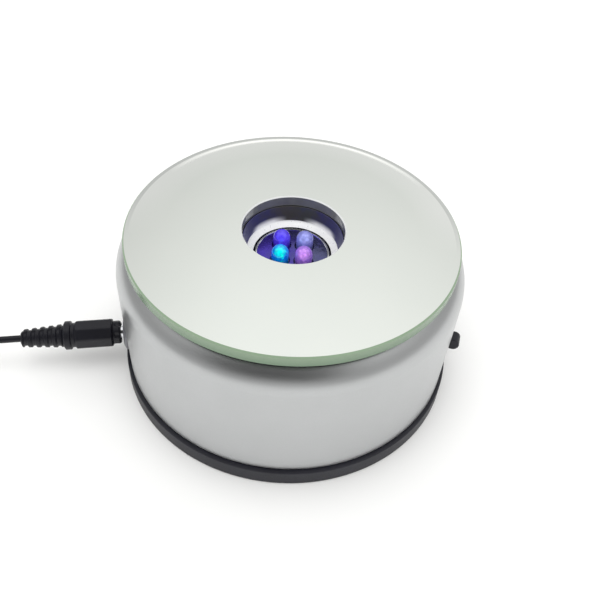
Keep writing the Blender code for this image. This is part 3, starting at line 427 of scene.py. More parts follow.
def glass_edge():
    """The ground green edge of the glass, lighter towards the top where light gets in."""
    look = Look("glass_edge", Roughness=0.26, Coat_Weight=0.12, Coat_Roughness=0.08, IOR=1.52)
    lift = look.rise(look.along("Z"), GLASS_LOW.z * MM, GLASS_HIGH.z * MM)
    mixed = look.math("MULTIPLY_ADD", look.noise(1.6, 3), 0.25, lift)
    look.colour(mixed, (0.115, 0.19, 0.12), (0.225, 0.31, 0.21))
    look.relief(look.noise(0.25, 3), 0.002)
    return look.material


def hole_edge():
    """The polished wall of the hole: grey, and shiny enough to mirror the nearest lamp."""
    look = Look("hole_edge", Metallic=0.3, Coat_Weight=0.6, Coat_Roughness=0.03)
    streaks = look.noise(2.2, 3)
    look.colour(streaks, (0.155, 0.16, 0.17), (0.25, 0.255, 0.265))
    look.rough(look.noise(0.5, 3), 0.12, 0.22)
    return look.material


def ground_arris():
    """The fine ground chamfer round the hole, which scatters light."""
    look = Look("ground_arris", Roughness=0.6)
    look.colour(look.noise(0.3, 3), (0.60, 0.61, 0.61), (0.73, 0.74, 0.73))
    look.relief(look.noise(0.1, 3), 0.003)
    return look.material


def backing_paint():
    look = Look("backing_paint")
    look.colour(look.noise(3), (0.05, 0.05, 0.055), (0.075, 0.075, 0.08))
    look.rough(look.noise(0.6), 0.5, 0.7)
    return look.material


def bright_chrome():
    """Vacuum-plated plastic: a clean mirror with a slight waviness."""
    look = Look("bright_chrome", Metallic=1.0)
    look.colour(look.noise(4), (0.80, 0.81, 0.84), (0.88, 0.89, 0.91))
    look.rough(look.noise(0.5, 4), 0.04, 0.11)
    look.relief(look.noise(3.0, 2), 0.012)
    return look.material


def bezel_grey():
    """The satin grey ring round the power socket."""
    look = Look("bezel_grey", Metallic=0.6)
    fine = look.noise(0.5, 4, 0.6)
    look.colour(look.noise(2.0), (0.20, 0.20, 0.22), (0.27, 0.27, 0.29))
    look.rough(fine, 0.3, 0.42)
    look.relief(fine, 0.004)
    return look.material


def plain_plastic(name, first, second, rough=(0.38, 0.52), grain=0.5):
    look = Look(name)
    look.colour(look.noise(5), first, second)
    fine = look.noise(grain, 3)
    look.rough(fine, *rough)
    look.relief(fine, 0.006)
    return look.material


def worked_metal(name, first, second, rough=(0.2, 0.36), grain=0.4):
    look = Look(name, Metallic=1.0)
    fine = look.noise(grain, 5, 0.65)
    look.colour(look.noise(2.5, 4), first, second)
    look.rough(fine, *rough)
    look.relief(fine, 0.004)
    return look.material


def board(name, first, second):
    """A lacquered circuit board with its glass weave showing faintly."""
    look = Look(name, Coat_Weight=0.4, Coat_Roughness=0.2)
    values = {"Vector": look.place, "Scale": 1 / (4 * MM), "Distortion": 0.4}
    waves = [look.add("ShaderNodeTexWave", values, bands_direction=axis).outputs["Fac"] for axis in "XY"]
    weave = look.math("MULTIPLY", *waves)
    look.colour(weave, first, second)
    look.rough(look.noise(0.8), 0.3, 0.5)
    look.relief(weave, 0.004)
    return look.material


def led_glow(name, deep, bright, strength):
    """Clear epoxy filled with light: a faceted bright core over a deeper body, dark at the foot."""
    look = Look(name, Roughness=0.06, IOR=1.5, Coat_Weight=0.4, Coat_Roughness=0.03)
    facing = look.add("ShaderNodeLayerWeight", {"Blend": 0.4}).outputs["Facing"]
    core = look.spread(facing, 1.1, 0.0, 0.02, 0.42)
    facets = look.spread(look.cells(1.0, "Distance"), 0.0, 0.5, 0.1, 0.6)
    look.colour(look.noise(0.8, 3), deep, [0.5 * value for value in bright])
    look.set("Emission Color", look.blend(look.math("SUBTRACT", core, facets), deep, bright))
    raised = look.spread(look.along("Z"), 0.12, 1.0, LED_SHINE_Z[0] * MM, LED_SHINE_Z[1] * MM)
    swirl = look.spread(look.noise(0.9, 3), 0.65, 1.3)
    glow = look.math("MULTIPLY", raised, swirl)
    look.set("Emission Strength", look.math("MULTIPLY", glow, strength))
    return look.material


def well_wall_painted_light():
    """The cup's steep wall with painted reflections: olive at the back, indigo towards the sides, and a
    painted white highlight low down between them.
    """
    look = Look("well_wall_painted_light")
    away = look.math("ABSOLUTE", look.along("X"))
    patches = look.spread(look.noise(2.4, 3), -0.25, 0.25)
    turn = look.rise(away, 4.0 * MM, 12.0 * MM)
    dull = look.blend(look.math("ADD", turn, patches), (0.105, 0.102, 0.082), (0.075, 0.075, 0.21))

    # The white patch low down is a painted highlight.
    from_middle = look.rise(away, 2.5 * MM, 6.5 * MM)
    from_side = look.rise(away, 12.4 * MM, 10.8 * MM)
    low_down = look.rise(look.along("Z"), WELL_PAINTED_WHITE_Z[1] * MM, WELL_PAINTED_WHITE_Z[0] * MM)
    white = look.math("MULTIPLY", look.math("MULTIPLY", from_middle, from_side), low_down)
    look.colour(white, dull, (0.92, 0.92, 0.90))
    look.set("Metallic", look.spread(white, 0.6, 0.0, 0.0, 0.6))
    look.rough(look.noise(0.7, 3), 0.30, 0.44)
    look.relief(look.noise(1.4, 3), 0.02)
    return look.material


def bowl_painted_highlight():
    """The shallow plated bowl, painted near-white: a painted highlight for the light it catches from above.
    """
    look = Look("bowl_painted_highlight", Metallic=0.25)
    look.colour(look.noise(2.0, 3), (0.84, 0.85, 0.86), (0.97, 0.97, 0.95))
    look.rough(look.noise(0.7, 3), 0.26, 0.4)
    look.relief(look.noise(1.8, 2), 0.02)
    return look.material


def well_shadow():
    """The unlit, dark blue throat between the cup and the floor."""
    look = Look("well_shadow")
    look.colour(look.noise(1.5, 3), (0.004, 0.004, 0.016), (0.010, 0.009, 0.034))
    look.rough(look.noise(0.6, 3), 0.5, 0.7)
    return look.material


def lit_floor():
    """The plated floor between the lamps, coloured by them: violet on the left and slate on the right."""
    look = Look("lit_floor", Metallic=0.85)
    patches = look.spread(look.noise(3.5, 3, 0.6), -0.35, 0.35)
    side = look.rise(look.along("X"), -5.0 * MM, 6.0 * MM)
    look.colour(look.math("ADD", side, patches), (0.075, 0.045, 0.42), (0.10, 0.105, 0.22))
    look.rough(look.noise(0.7, 3), 0.14, 0.3)
    look.relief(look.noise(1.6, 3), 0.05)
    return look.material


LOOKS = {
    "silver_shell": silver_paint(),
    "black_abs": moulded_black(),
    "mirror_glass": mirror_face(),
    "chrome": bright_chrome(),
    "white_plastic": plain_plastic("white_plastic", (0.70, 0.69, 0.65), (0.79, 0.78, 0.74)),
    "nylon": plain_plastic("nylon", (0.80, 0.78, 0.70), (0.88, 0.87, 0.80), (0.42, 0.58), 0.8),
    "steel": worked_metal("zinc_steel", (0.46, 0.46, 0.47), (0.62, 0.62, 0.64)),
    "brass": worked_metal("nickel_brass", (0.60, 0.43, 0.16), (0.74, 0.56, 0.26)),
    "circuit_board": board("green_board", (0.012, 0.11, 0.04), (0.03, 0.19, 0.08)),
    "light_board": board("white_board", (0.72, 0.72, 0.70), (0.84, 0.84, 0.82)),
    "rubber": moulded_black("rubber", 0.03, (0.72, 0.9), 0.5, 0.02),
    "cable_pvc": moulded_black("cable_pvc", 0.008, (0.34, 0.46), 0.6, 0.006),
    "led_lens": led_glow("led_lens", (0.02, 0.02, 0.4), (0.2, 0.3, 1.0), 1.0),
    "red_wire": plain_plastic("red_wire", (0.42, 0.015, 0.012), (0.56, 0.03, 0.02), (0.28, 0.4)),
    "black_wire": moulded_black("black_wire", 0.014, (0.28, 0.4), 0.5, 0.004),
}


# ---------------------------------------------------------------- turntable
def build_glass():
    """The mirror glass: a disc with a hole, ground arrises and a painted back."""
    arris, hole_arris, back_arris = 0.4, 0.35, 0.15
    hole = bore("mirror_glass")
    top, bottom, rim = GLASS_HIGH.z, GLASS_LOW.z, GLASS_HIGH.x
    corners = [
        (hole + hole_arris, top, 0.05), (rim - arris, top, 0.12), (rim, top - arris, 0.12),
        (rim, bottom + arris, 0.12), (rim - arris, bottom, 0.12), (hole + back_arris, bottom, 0.05),
        (hole, bottom + back_arris, 0.05), (hole, top - hole_arris, 0.05),
    ]
    mesh = lathe("glass_disc", corners)
    looks = [LOOKS["mirror_glass"], glass_edge(), backing_paint(), hole_edge(), ground_arris()]
    stand_in("glass_disc", mesh, "mirror_glass", looks, 50)
    flat = 0.95
    for face in mesh.polygons:
        inside = face.center.xy.length / MM < hole + hole_arris
        if face.normal.z < -flat:
            face.material_index = 2
        elif inside and face.normal.z > 0.2:
            face.material_index = 4
        elif inside:
            face.material_index = 3
        elif face.normal.z < flat:
            face.material_index = 1


def build_platter():
    """The black platter under the glass, with its sleeve and the seat round the light well."""
    low, high = box("turntable_platter")
    rim, top = high.x, high.z
    under, lip, skirt = top - 1.8, 1.2, 0.8
    inner = bore("turntable_platter")
    sleeve, seat, seat_depth = 19.6, 18.4, 1.1
    corners = [
        (seat, top, 0.2), (rim - 0.4, top, 0.3), (rim, top - 0.4, 0.3), (rim, under - skirt, 0.3),
        (rim - lip, under - skirt, 0.3), (rim - lip, under, 0.4), (sleeve, under, 0.5),
        (sleeve, low.z, 0.3), (inner, low.z, 0.3), (inner, top - seat_depth, 0.15),
        (seat, top - seat_depth, 0.15),
    ]
    stand_in("platter", lathe("platter", corners), "turntable_platter")


# ---------------------------------------------------------------- drum
LIP_R = 46.4
RECESS_R = 44.9
WIDEST_Z = 33.0
FOOT_R = 50.2
WALL = 1.8
SHOULDER_R = 8.0
SHOULDER_Z = 38.5
DECK_TOP = 39.4
DECK_BOTTOM = 37.6


def drum_outside():
    """The drum's outer surface: a round shoulder under the lip, and a wall that draws in at the foot."""
    middle = DRUM_HIGH.x - SHOULDER_R
    start = math.acos((LIP_R - middle) / SHOULDER_R)
    points = []
    steps = 28
    for i in range(steps + 1):
        turn = start * (1 - i / steps)
        points.append((middle + SHOULDER_R * math.cos(turn), SHOULDER_Z + SHOULDER_R * math.sin(turn)))
    points.append((DRUM_HIGH.x, WIDEST_Z))
    wall_steps = 12
    for i in range(1, wall_steps + 1):
        share = i / wall_steps
        ease = (1 - math.cos(math.pi * share)) / 2
        radius = DRUM_HIGH.x + (FOOT_R - DRUM_HIGH.x) * ease
        points.append((radius, WIDEST_Z + (DRUM_LOW.z - WIDEST_Z) * share))
    return points


def switch_slot(inside, outside):
    """The cutter for the slot that the switch's knob slides in."""
    half_run, half_height, ease = 4.4, 2.35, 0.6
    signs = ((-1, -1), (1, -1), (1, 1), (-1, 1))
    outline = rounded([(half_run * x, half_height * y, ease) for x, y in signs])
    slot = prism("slot", outline, inside, outside)
    slot.transform(switch_frame())
    return slot


def build_drum():
    """The silver drum with its deck, screw bosses, jack hole and switch slot."""
    recess_wall = RECESS_R + 1.5
    deck_hole = 16.9
    outside = drum_outside()
    outside[-1] = (*outside[-1], 0.3)
    corners = outside + [
        (FOOT_R - WALL, DRUM_LOW.z, 0.2), (DRUM_HIGH.x - WALL, WIDEST_Z),
        (DRUM_HIGH.x - WALL - 0.6, SHOULDER_Z + 1.0, 0.6), (recess_wall + 0.3, SHOULDER_Z + 4.4, 0.3),
        (recess_wall, SHOULDER_Z + 4.0, 0.2), (recess_wall, DECK_BOTTOM, 0.4),
        (deck_hole, DECK_BOTTOM, 0.2), (deck_hole, DECK_TOP, 0.2), (RECESS_R, DECK_TOP, 0.5),
        (RECESS_R, outside[0][1], 0.25),
    ]
    mesh = lathe("drum", corners)

    boss_r, boss_top = 3.2, 16.0
    pilot_r, pilot_low, pilot_top = 1.6, 4.0, 14.2
    bosses, cuts = [], []
    for number in (1, 2, 3):
        spot = centre(f"base_screw_{number}")
        bosses.append(upright(rod(boss_r, DRUM_LOW.z, boss_top, 0.3, 0.3), spot))
        cuts.append(upright(rod(pilot_r, pilot_low, pilot_top), spot))

    shaft_hole_r, jack_hole_r = 1.8, 5.0
    through_deck, jack_reach, slot_reach = (30, 45), (42, 56), (43, 56)
    cuts.append(upright(rod(shaft_hole_r, *through_deck), centre("third_gear")))
    cuts.append(at_jack(lathe("hole", rod(jack_hole_r, *jack_reach), MEDIUM)))
    cuts.append(switch_slot(*slot_reach))
    stand_in("drum", carved(mesh, cuts, bosses), "body_shell", sharp=30)


def switch_frame():
    """Local X along the switch's travel, Y up and Z outwards, with the origin on the stand's axis."""
    up = Vector((0, 0, 1))
    turn = Matrix((SWITCH_ALONG, up, SWITCH_OUT)).transposed().to_4x4()
    return Matrix.Translation((0, 0, SWITCH_Z * MM)) @ turn


# ---------------------------------------------------------------- base
def sunk_hole(radius, ease, end):
    """The corners of a hole into the base from below, with a chamfered mouth."""
    bottom = BASE_LOW.z
    wide = radius + ease
    mouth = [(0, BELOW_BASE), (wide, BELOW_BASE), (wide, bottom), (radius, bottom + ease)]
    return mouth + [(radius, end), (0, end)]


def build_base():
    """The black base: floor, rim and skirt, with the battery well, pillars, bosses and foot seats."""
    rim, inner = BASE_HIGH.x, 47.0
    bottom, skirt = BASE_LOW.z, 0.12
    corners = [
        (0, BASE_FLOOR_TOP), (inner, BASE_FLOOR_TOP, 0.5), (inner, BASE_RIM_TOP, 0.3),
        (rim, BASE_RIM_TOP, 0.65), (rim, skirt, 0.35), (rim - 1.6, skirt, 0.1), (rim - 1.9, bottom, 0.1),
        (0, bottom),
    ]
    mesh = lathe("base", corners)
    in_floor = 1.5
    well_low, well_high, wall = Vector((-26.6, -33.8, -in_floor)), Vector((26.6, -1.2, 14.2)), 1.4
    walls_low = (well_low.x - wall, well_low.y - wall, in_floor)
    joins = [rounded_box("walls", walls_low, well_high + Vector((wall, wall, wall)), 0.4)]
    cuts = []
    pillar_r, screw_hole_r, head_r, head_seat = 3.0, 1.7, 2.9, 2.4
    boss_r, boss_top, pilot_r, pilot_low = 2.8, 23.9, 1.3, 16.5
    for number in (1, 2, 3):
        spot = centre(f"base_screw_{number}")
        joins.append(upright(rod(pillar_r, in_floor, BASE_RIM_TOP, 0.2), spot))
        cuts.append(upright(rod(screw_hole_r, BELOW_BASE, BASE_RIM_TOP + 2.5), spot))
        cuts.append(upright(sunk_hole(head_r, 0.4, head_seat), spot))
        post = centre(f"gearbox_screw_{number}")
        joins.append(upright(rod(boss_r, in_floor, boss_top, 0.3), post))
        cuts.append(upright(rod(pilot_r, pilot_low, boss_top + 1.1), post))
    peg_r, peg_low, peg_top = 1.6, 15.1, 16.9
    for x in (-8.0, 20.0):
        joins.append(upright(rod(peg_r, peg_low, peg_top, 0.3), Vector((x, -10.0))))

    cuts.append(rounded_box("cavity", well_low, well_high, 0))
    window_half, window_low, window_top = 3.4, 2.5, 5.9
    for side in (-1, 1):
        near = (side * HOOK_X - window_half, well_high.y - 1, window_low)
        far = (side * HOOK_X + window_half, well_high.y + wall + 1, window_top)
        cuts.append(rounded_box("window", near, far, 0))
    seat_r, seat_top = 4.1, 1.3
    for number in range(1, 5):
        cuts.append(upright(sunk_hole(seat_r, 0.3, seat_top), centre(f"foot_{number}"), MEDIUM))
    stand_in("base", carved(mesh, cuts, joins), "base_plate", sharp=30)


def build_feet():
    """Rubber feet with a fine rim round a slightly hollow sole."""
    rim, hollow = 0.9, 0.15
    for number in range(1, 5):
        name = f"foot_{number}"
        low, high = box(name)
        radius = (high.x - low.x) / 2
        corners = [
            (0, high.z), (radius, high.z, 0.1), (radius, low.z, 0.4), (radius - rim, low.z, 0.1),
            (radius - rim - 0.2, low.z + hollow, 0.1), (0, low.z + hollow),
        ]
        stand_in(f"rubber_foot_{number}", upright(corners, centre(name), MEDIUM, name), name)


# ---------------------------------------------------------------- light well
def build_cup():
    """A steep plated wall that sweeps into a shallow bowl round the lamps, with a bead inside the glass."""
    low, high = box("reflector_cup")
    top, floor = high.z, box("reflector_disc")[1].z
    bead_r, bead_back, bead_top = 14.25, 14.5, top + 0.5
    floor_r, bowl_r, outer_r, bowl_rise = 11.4, 13.35, 14.7, 1.0
    flange = 0.4
    corners = [
        (bead_r, bead_top, 0.1), (bead_back, bead_top, 0.1), (bead_back, top, 0.05), (high.x, top, 0.15),
        (high.x, top - flange, 0.1), (outer_r, top - flange, 0.2), (outer_r, low.z, 0.2),
        (floor_r, low.z, 0.1), (floor_r, floor - 0.05, 0.1), (bowl_r, floor + bowl_rise, 0.9),
    ]
    mesh = lathe("chromed_cup", corners, arc_steps=10)
    looks = [LOOKS["chrome"], well_wall_painted_light(), well_shadow(), bowl_painted_highlight()]
    stand_in("chromed_cup", mesh, "reflector_cup", looks, sharp=40)
    # Slot 1 holds the wall's painted reflections, slot 2 the dark throat's painted shade, slot 3 the bowl's
    # painted highlight.
    for face in mesh.polygons:
        height = face.center.z / MM
        facing_in = face.normal.xy.dot(face.center.xy) < 0
        if facing_in and height < floor - 0.1:
            face.material_index = 2
        elif facing_in and height < floor + bowl_rise + 0.15:
            face.material_index = 3
        elif height > floor and face.center.xy.length / MM < bead_back + 0.05:
            face.material_index = 1


# Each lamp's deep colour, bright colour and strength.
LED_COLOURS = {
    "led_1": ((0.09, 0.09, 0.30), (0.36, 0.40, 0.85), 0.75),
    "led_2": ((0.04, 0.02, 0.36), (0.10, 0.07, 0.95), 0.85),
    "led_3": ((0.00, 0.03, 0.40), (0.00, 0.95, 0.66), 1.15),
    "led_4": ((0.12, 0.06, 0.34), (0.66, 0.30, 0.88), 0.8),
}


def build_disc():
    """The plated floor the lamps stand in, with a fine raised rim."""
    low, high = box("reflector_disc")
    rim, skirt, neck_z = 10.8, 9.8, 39.6
    floor, under = high.z - 0.25, high.z - 0.8
    corners = [
        (0, floor), (rim - 0.55, floor, 0.1), (rim - 0.4, high.z, 0.08), (rim, high.z, 0.12),
        (rim, neck_z, 0.1), (high.x, neck_z, 0.1), (high.x, low.z, 0.1), (skirt, low.z, 0.1),
        (skirt, under, 0.2), (0, under),
    ]
    hole_r, hole_ease, below, above = 2.8, 0.15, 39, 43
    hole = [
        (0, below), (hole_r, below), (hole_r, floor - hole_ease), (hole_r + hole_ease, floor),
        (hole_r + hole_ease, above), (0, above),
    ]
    mesh = carved(lathe("chromed_disc", corners), [upright(hole, centre(name)) for name in LED_COLOURS])
    stand_in("chromed_disc", mesh, "reflector_disc", [LOOKS["chrome"], lit_floor(), well_shadow()])
    for face in mesh.polygons:
        reach = face.center.xy.length / MM
        if face.normal.z > 0.5 and reach < rim - 0.5:
            face.material_index = 1
        elif reach > rim - 0.05 and face.center.z / MM < high.z - 0.2:
            face.material_index = 2


def build_leds():
    """Round-topped lamps with a flange at the foot."""
    radius, flange_height = 2.5, 1.0
    steps = 14
    for name, colours in LED_COLOURS.items():
        low, high = box(name)
        flange, flange_top = (high.x - low.x) / 2, low.z + flange_height
        dome = high.z - radius
        corners = [(0, high.z)]
        for i in range(1, steps + 1):
            angle = math.pi / 2 * i / steps
            corners.append((radius * math.sin(angle), dome + radius * math.cos(angle)))
        corners += [(radius, flange_top, 0.1), (flange, flange_top, 0.15), (flange, low.z, 0.1), (0, low.z)]
        mesh = upright(corners, centre(name), MEDIUM, name)
        stand_in(name + "_lamp", mesh, name, [led_glow(name + "_glow", *colours)])


# ---------------------------------------------------------------- jack, plug and cable
def build_jack():
    """The power socket: a chamfered bezel outside the drum, its threaded neck and the barrel behind it."""
    front = span("dc_jack", JACK_OUT)[1]
    flange, flange_depth, chamfer = 5.6, 1.35, 0.7
    bore_r, mouth_r, thread_r, barrel_r = 2.35, 2.9, 4.7, 4.2
    back, bore_end, thread_end = 35.0, 37.2, 44.0
    corners = [
        (0, bore_end), (bore_r, bore_end), (bore_r, front - 0.5, 0.2), (mouth_r, front, 0.15),
        (flange - 1.1, front, 0.3), (flange, front - chamfer, 0.3), (flange, front - flange_depth, 0.1),
        (thread_r, front - flange_depth, 0.1), (thread_r, thread_end, 0.1), (barrel_r, thread_end, 0.1),
        (barrel_r, back, 0.3), (0, back),
    ]
    mesh = at_jack(lathe("power_socket", corners, MEDIUM))
    stand_in("power_socket", mesh, "dc_jack", [LOOKS["black_abs"], bezel_grey()])
    for face in mesh.polygons:
        middle = face.center / MM
        reach = middle.dot(JACK_OUT)
        off_axis = (middle - JACK_OUT * reach - Vector((0, 0, JACK_Z))).length
        if reach > front - 1.3 and off_axis > 3.0:
            face.material_index = 1


PLUG_FACE = 52.3
PLUG_R = 4.4
GROOVE_R = 3.75
NOSE_R = 3.55
GRIP_FRONT_R = 3.4
GRIP_START = 54.4
GRIP_END = 66.1
COLLAR_START = 66.9
RELIEF_START = 69.3
RELIEF_END = 81.9
RIB_PITCH = 2.45
RIB_HEIGHT = 0.5
AROUND = 96


def smooth(value, start, end):
    share = min(max((value - start) / (end - start), 0), 1)
    return share * share * (3 - 2 * share)


def octagon_reach(angle, flat, corner):
    """How far an octagon with rounded corners reaches at an angle."""
    turn = (angle + TURN / 16) % (TURN / 8) - TURN / 16
    return min(flat / math.cos(turn), corner)


def rib_height(reach, angle):
    """The strain relief's ribs: rounded, and half a pitch later on its lower side than on its upper side."""
    lower = smooth(-math.sin(angle), -0.12, 0.12)
    phase = ((reach - RELIEF_START - 0.5) / RIB_PITCH - 0.5 * lower) % 1
    return smooth(phase, 0.0, 0.22) - smooth(phase, 0.52, 0.74)


def relief_reach(reach, angle):
    """The tapered strain relief's outline."""
    share = (reach - RELIEF_START) / (RELIEF_END - RELIEF_START)
    valley, end_ease = 3.15 - 0.95 * share, 0.45
    ends = smooth(RELIEF_END - reach, 0, 0.5) * smooth(reach, RELIEF_START, RELIEF_START + 0.8)
    eased = end_ease * (1 - smooth(RELIEF_END - reach, -0.2, 0.4))
    return valley - eased + RIB_HEIGHT * rib_height(reach, angle) * ends


def plug_reach(reach, angle):
    """The moulded plug's outline at a distance along it and an angle round it."""
    if reach > RELIEF_START:
        return relief_reach(reach, angle)
    if reach > COLLAR_START:
        ease = smooth(reach, COLLAR_START, COLLAR_START + 0.4) * smooth(RELIEF_START - reach, -0.05, 0.5)
        return GROOVE_R + (PLUG_R - GROOVE_R) * ease
    if reach > GRIP_END:
        return GROOVE_R
    octagon = octagon_reach(angle, PLUG_R * 0.955, PLUG_R * 1.01)
    if reach > GRIP_START:
        back = GROOVE_R + (octagon - GROOVE_R) * smooth(GRIP_END - reach, -0.1, 0.8)
        front = GRIP_FRONT_R + (octagon - GRIP_FRONT_R) * smooth(reach, GRIP_START, GRIP_START + 0.6)
        return min(back, front)
    scallop = 0.5 * max(0.0, math.cos(6 * angle)) * smooth(GRIP_START - 0.1 - reach, 0, 0.7)
    return NOSE_R - scallop - 0.25 * (1 - smooth(reach, PLUG_FACE, PLUG_FACE + 0.4))


def loft(name, rings):
    """A closed solid through rings of points, whose first and last rings join each other."""
    work = bmesh.new()
    rows = [[work.verts.new(point) for point in ring] for ring in rings]
    for here, there in zip(rows, rows[1:] + rows[:1]):
        for i in range(len(here)):
            j = (i + 1) % len(here)
            work.faces.new((here[i], here[j], there[j], there[i]))
    return mesh_from(work, name)


def build_plug():
    """One overmoulded piece: scalloped nose, eight-sided grip, collar and ribbed strain relief."""
    steps = 230
    reaches = [PLUG_FACE + (RELIEF_END - PLUG_FACE) * i / steps for i in range(steps + 1)]
    angles = [TURN * i / AROUND for i in range(AROUND)]

    def ring(reach, radius_at):
        radii = [radius_at(angle) * MM for angle in angles]
        return [(r * math.cos(a), r * math.sin(a), reach * MM) for r, a in zip(radii, angles)]

    cable_hole, mouth, axis = 1.35, 2.3, 0.05
    cable_end, pocket_end = 72.0, 58.3
    inside = [
        (RELIEF_END, cable_hole + 0.15), (RELIEF_END - 0.15, cable_hole), (cable_end, cable_hole),
        (cable_end, axis), (pocket_end, axis), (pocket_end, mouth), (PLUG_FACE + 0.2, mouth),
        (PLUG_FACE, mouth + 0.2),
    ]
    rings = [ring(reach, lambda angle, at=reach: plug_reach(at, angle)) for reach in reaches]
    rings += [ring(reach, lambda angle, at=radius: at) for reach, radius in inside]
    body = loft("plug", rings)
    body.transform(Matrix.Rotation(math.radians(90), 4, "Z"))
    stand_in("power_plug_body", at_jack(body), "plug_body")


def build_plug_barrel():
    """The plug's metal sleeve."""
    inner, outer = 1.15, 2.0
    root, tip = 58.0, 43.8
    barrel = [(inner, root), (outer, root), (outer, tip, 0.25), (inner, tip, 0.15)]
    stand_in("power_plug_barrel", at_jack(lathe("barrel", barrel, MEDIUM)), "plug_barrel")


def build_cable():
    """The first stretch of the cable, which sinks from the plug to the table."""
    radius = 1.05
    start, end = 72.4, span("power_cable", JACK_OUT)[1]
    straight_end, sink_start, sink_end = 84, 88, 122
    rest = box("power_cable")[0].z + radius
    path = [JACK_OUT * start + Vector((0, 0, JACK_Z))]
    steps = 48
    for i in range(steps + 1):
        reach = straight_end + (end - straight_end) * i / steps
        height = JACK_Z + (rest - JACK_Z) * smooth(reach, sink_start, sink_end)
        path.append(JACK_OUT * reach + Vector((0, 0, height)))
    stand_in("power_lead", tube("power_lead", path, radius, 32), "power_cable")


# ---------------------------------------------------------------- switch
def build_knob():
    """A square stem whose outer end is domed from top to bottom and ribbed for the finger."""
    near, tip = span("switch_knob", SWITCH_OUT)
    half, dome, proud = 2.0, 1.9, 0.4
    side = [(-half, near), (half, near)]
    steps = 16
    for i in range(steps + 1):
        turn = math.pi * i / steps
        side.append((half * math.cos(turn), tip - dome + proud + dome * math.sin(turn)))
    mesh = prism("knob", side, -half, half)
    quarter = math.radians(90)
    mesh.transform(Matrix.Rotation(quarter, 4, "Z") @ Matrix.Rotation(quarter, 4, "X"))
    work = opened(mesh)
    ends = [edge for edge in work.edges if edge.is_manifold and edge.calc_face_angle() > 1.2]
    bmesh.ops.bevel(work, geom=ends, offset=0.35 * MM, segments=3, profile=0.5, affect="EDGES")
    mesh = mesh_from(work, "knob")
    pitch, groove_half, long_half = 0.72, 0.14, 3
    grooves = []
    for i in range(-2, 3):
        near_side = (i * pitch - groove_half, -long_half, tip + 0.12)
        far_side = (i * pitch + groove_half, long_half, tip + 1)
        grooves.append(rounded_box("groove", near_side, far_side, 0))
    mesh = carved(mesh, grooves)
    mesh.transform(switch_frame())
    stand_in("slide_knob", mesh, "switch_knob")


# ---------------------------------------------------------------- underside
def cross_recess(half_long, half_wide, low, high, turn):
    """The two arms of a cross recess, turned by some degrees."""
    arms = []
    for quarter in (0, 90):
        arm = rounded_box("arm", (-half_long, -half_wide, low), (half_long, half_wide, high), 0)
        arm.transform(Matrix.Rotation(math.radians(quarter + turn), 4, "Z"))
        arms.append(arm)
    return arms


def build_screws():
    """Pan-head case screws with cross recesses, each turned by its own amount."""
    shank_r, head_r, head_flat_r, head_height = 1.3, 2.6, 1.9, 1.4
    for number in (1, 2, 3):
        name = f"base_screw_{number}"
        low, high = box(name)
        seat = low.z + head_height
        corners = [
            (0, high.z), (shank_r, high.z - 1.4, 0.3), (shank_r, seat, 0.1), (head_r, seat, 0.1),
            (head_r, seat - 0.8, 0.4), (head_flat_r, low.z, 0.6), (0, low.z),
        ]
        arms = cross_recess(1.35, 0.28, low.z - 1, low.z + 0.8, 20 * number)
        mesh = carved(lathe(name, corners, MEDIUM), arms)
        spot = centre(name)
        stand_in(f"case_screw_{number}", moved(mesh, spot.x, spot.y), name)


def build_door():
    """The battery door: a plate with finger grooves, and two hooks on stems at its hinged edge."""
    low, high = box("battery_door")
    hinge_y, hinge_z = (value / MM for value in JOINTS["battery_door_swing"]["pos_m"][1:])
    edge, plate_top = hinge_y - 0.3, hinge_z + 1.75
    root = edge - 2.1
    hook_half, hook_low, stem_low, stem_top = 3, 2.95, 1.7, 3.6
    mesh = rounded_box("door", low, (high.x, edge, plate_top), 0.25)
    joins, cuts = [], []
    for side in (-1, 1):
        x0, x1 = side * HOOK_X - hook_half, side * HOOK_X + hook_half
        joins.append(rounded_box("hook", (x0, root, hook_low), (x1, high.y, high.z), 0.2))
        joins.append(rounded_box("stem", (x0, root, stem_low), (x1, edge, stem_top), 0.2))
    groove_half, groove_pitch, groove_width, groove_depth = 7, 1.7, 0.8, 0.4
    for number in range(4):
        y0 = low.y + 2.4 + groove_pitch * number
        far = (groove_half, y0 + groove_width, low.z + groove_depth)
        cuts.append(rounded_box("groove", (-groove_half, y0, -1), far, 0.3))
    stand_in("battery_lid", carved(mesh, cuts, joins), "battery_door")


# ---------------------------------------------------------------- carried-over CAD nodes
def finish_cad_nodes():
    """Give every CAD node that stays its finish."""
    for name, node in NODES.items():
        node.data.materials.clear()
        node.data.materials.append(LOOKS[SLOT_OF[name]])


def refine(node, width):
    """A softer-edged copy of a CAD node: its sharp edges are bevelled by width millimetres."""
    work = opened(NODES[node].data)
    bmesh.ops.remove_doubles(work, verts=work.verts, dist=WELD)
    flat, sharp = math.radians(3), math.radians(40)
    bmesh.ops.dissolve_limit(work, angle_limit=flat, verts=work.verts, edges=work.edges)
    edges = [e for e in work.edges if len(e.link_faces) == 2 and e.calc_face_angle() > sharp]
    settings = {"segments": 2, "profile": 0.5, "affect": "EDGES", "clamp_overlap": True}
    bmesh.ops.bevel(work, geom=edges, offset=width * MM, **settings)
    bmesh.ops.triangulate(work, faces=[face for face in work.faces if len(face.verts) > 4])
    stand_in("fine_" + node, mesh_from(work, "fine_" + node), node)


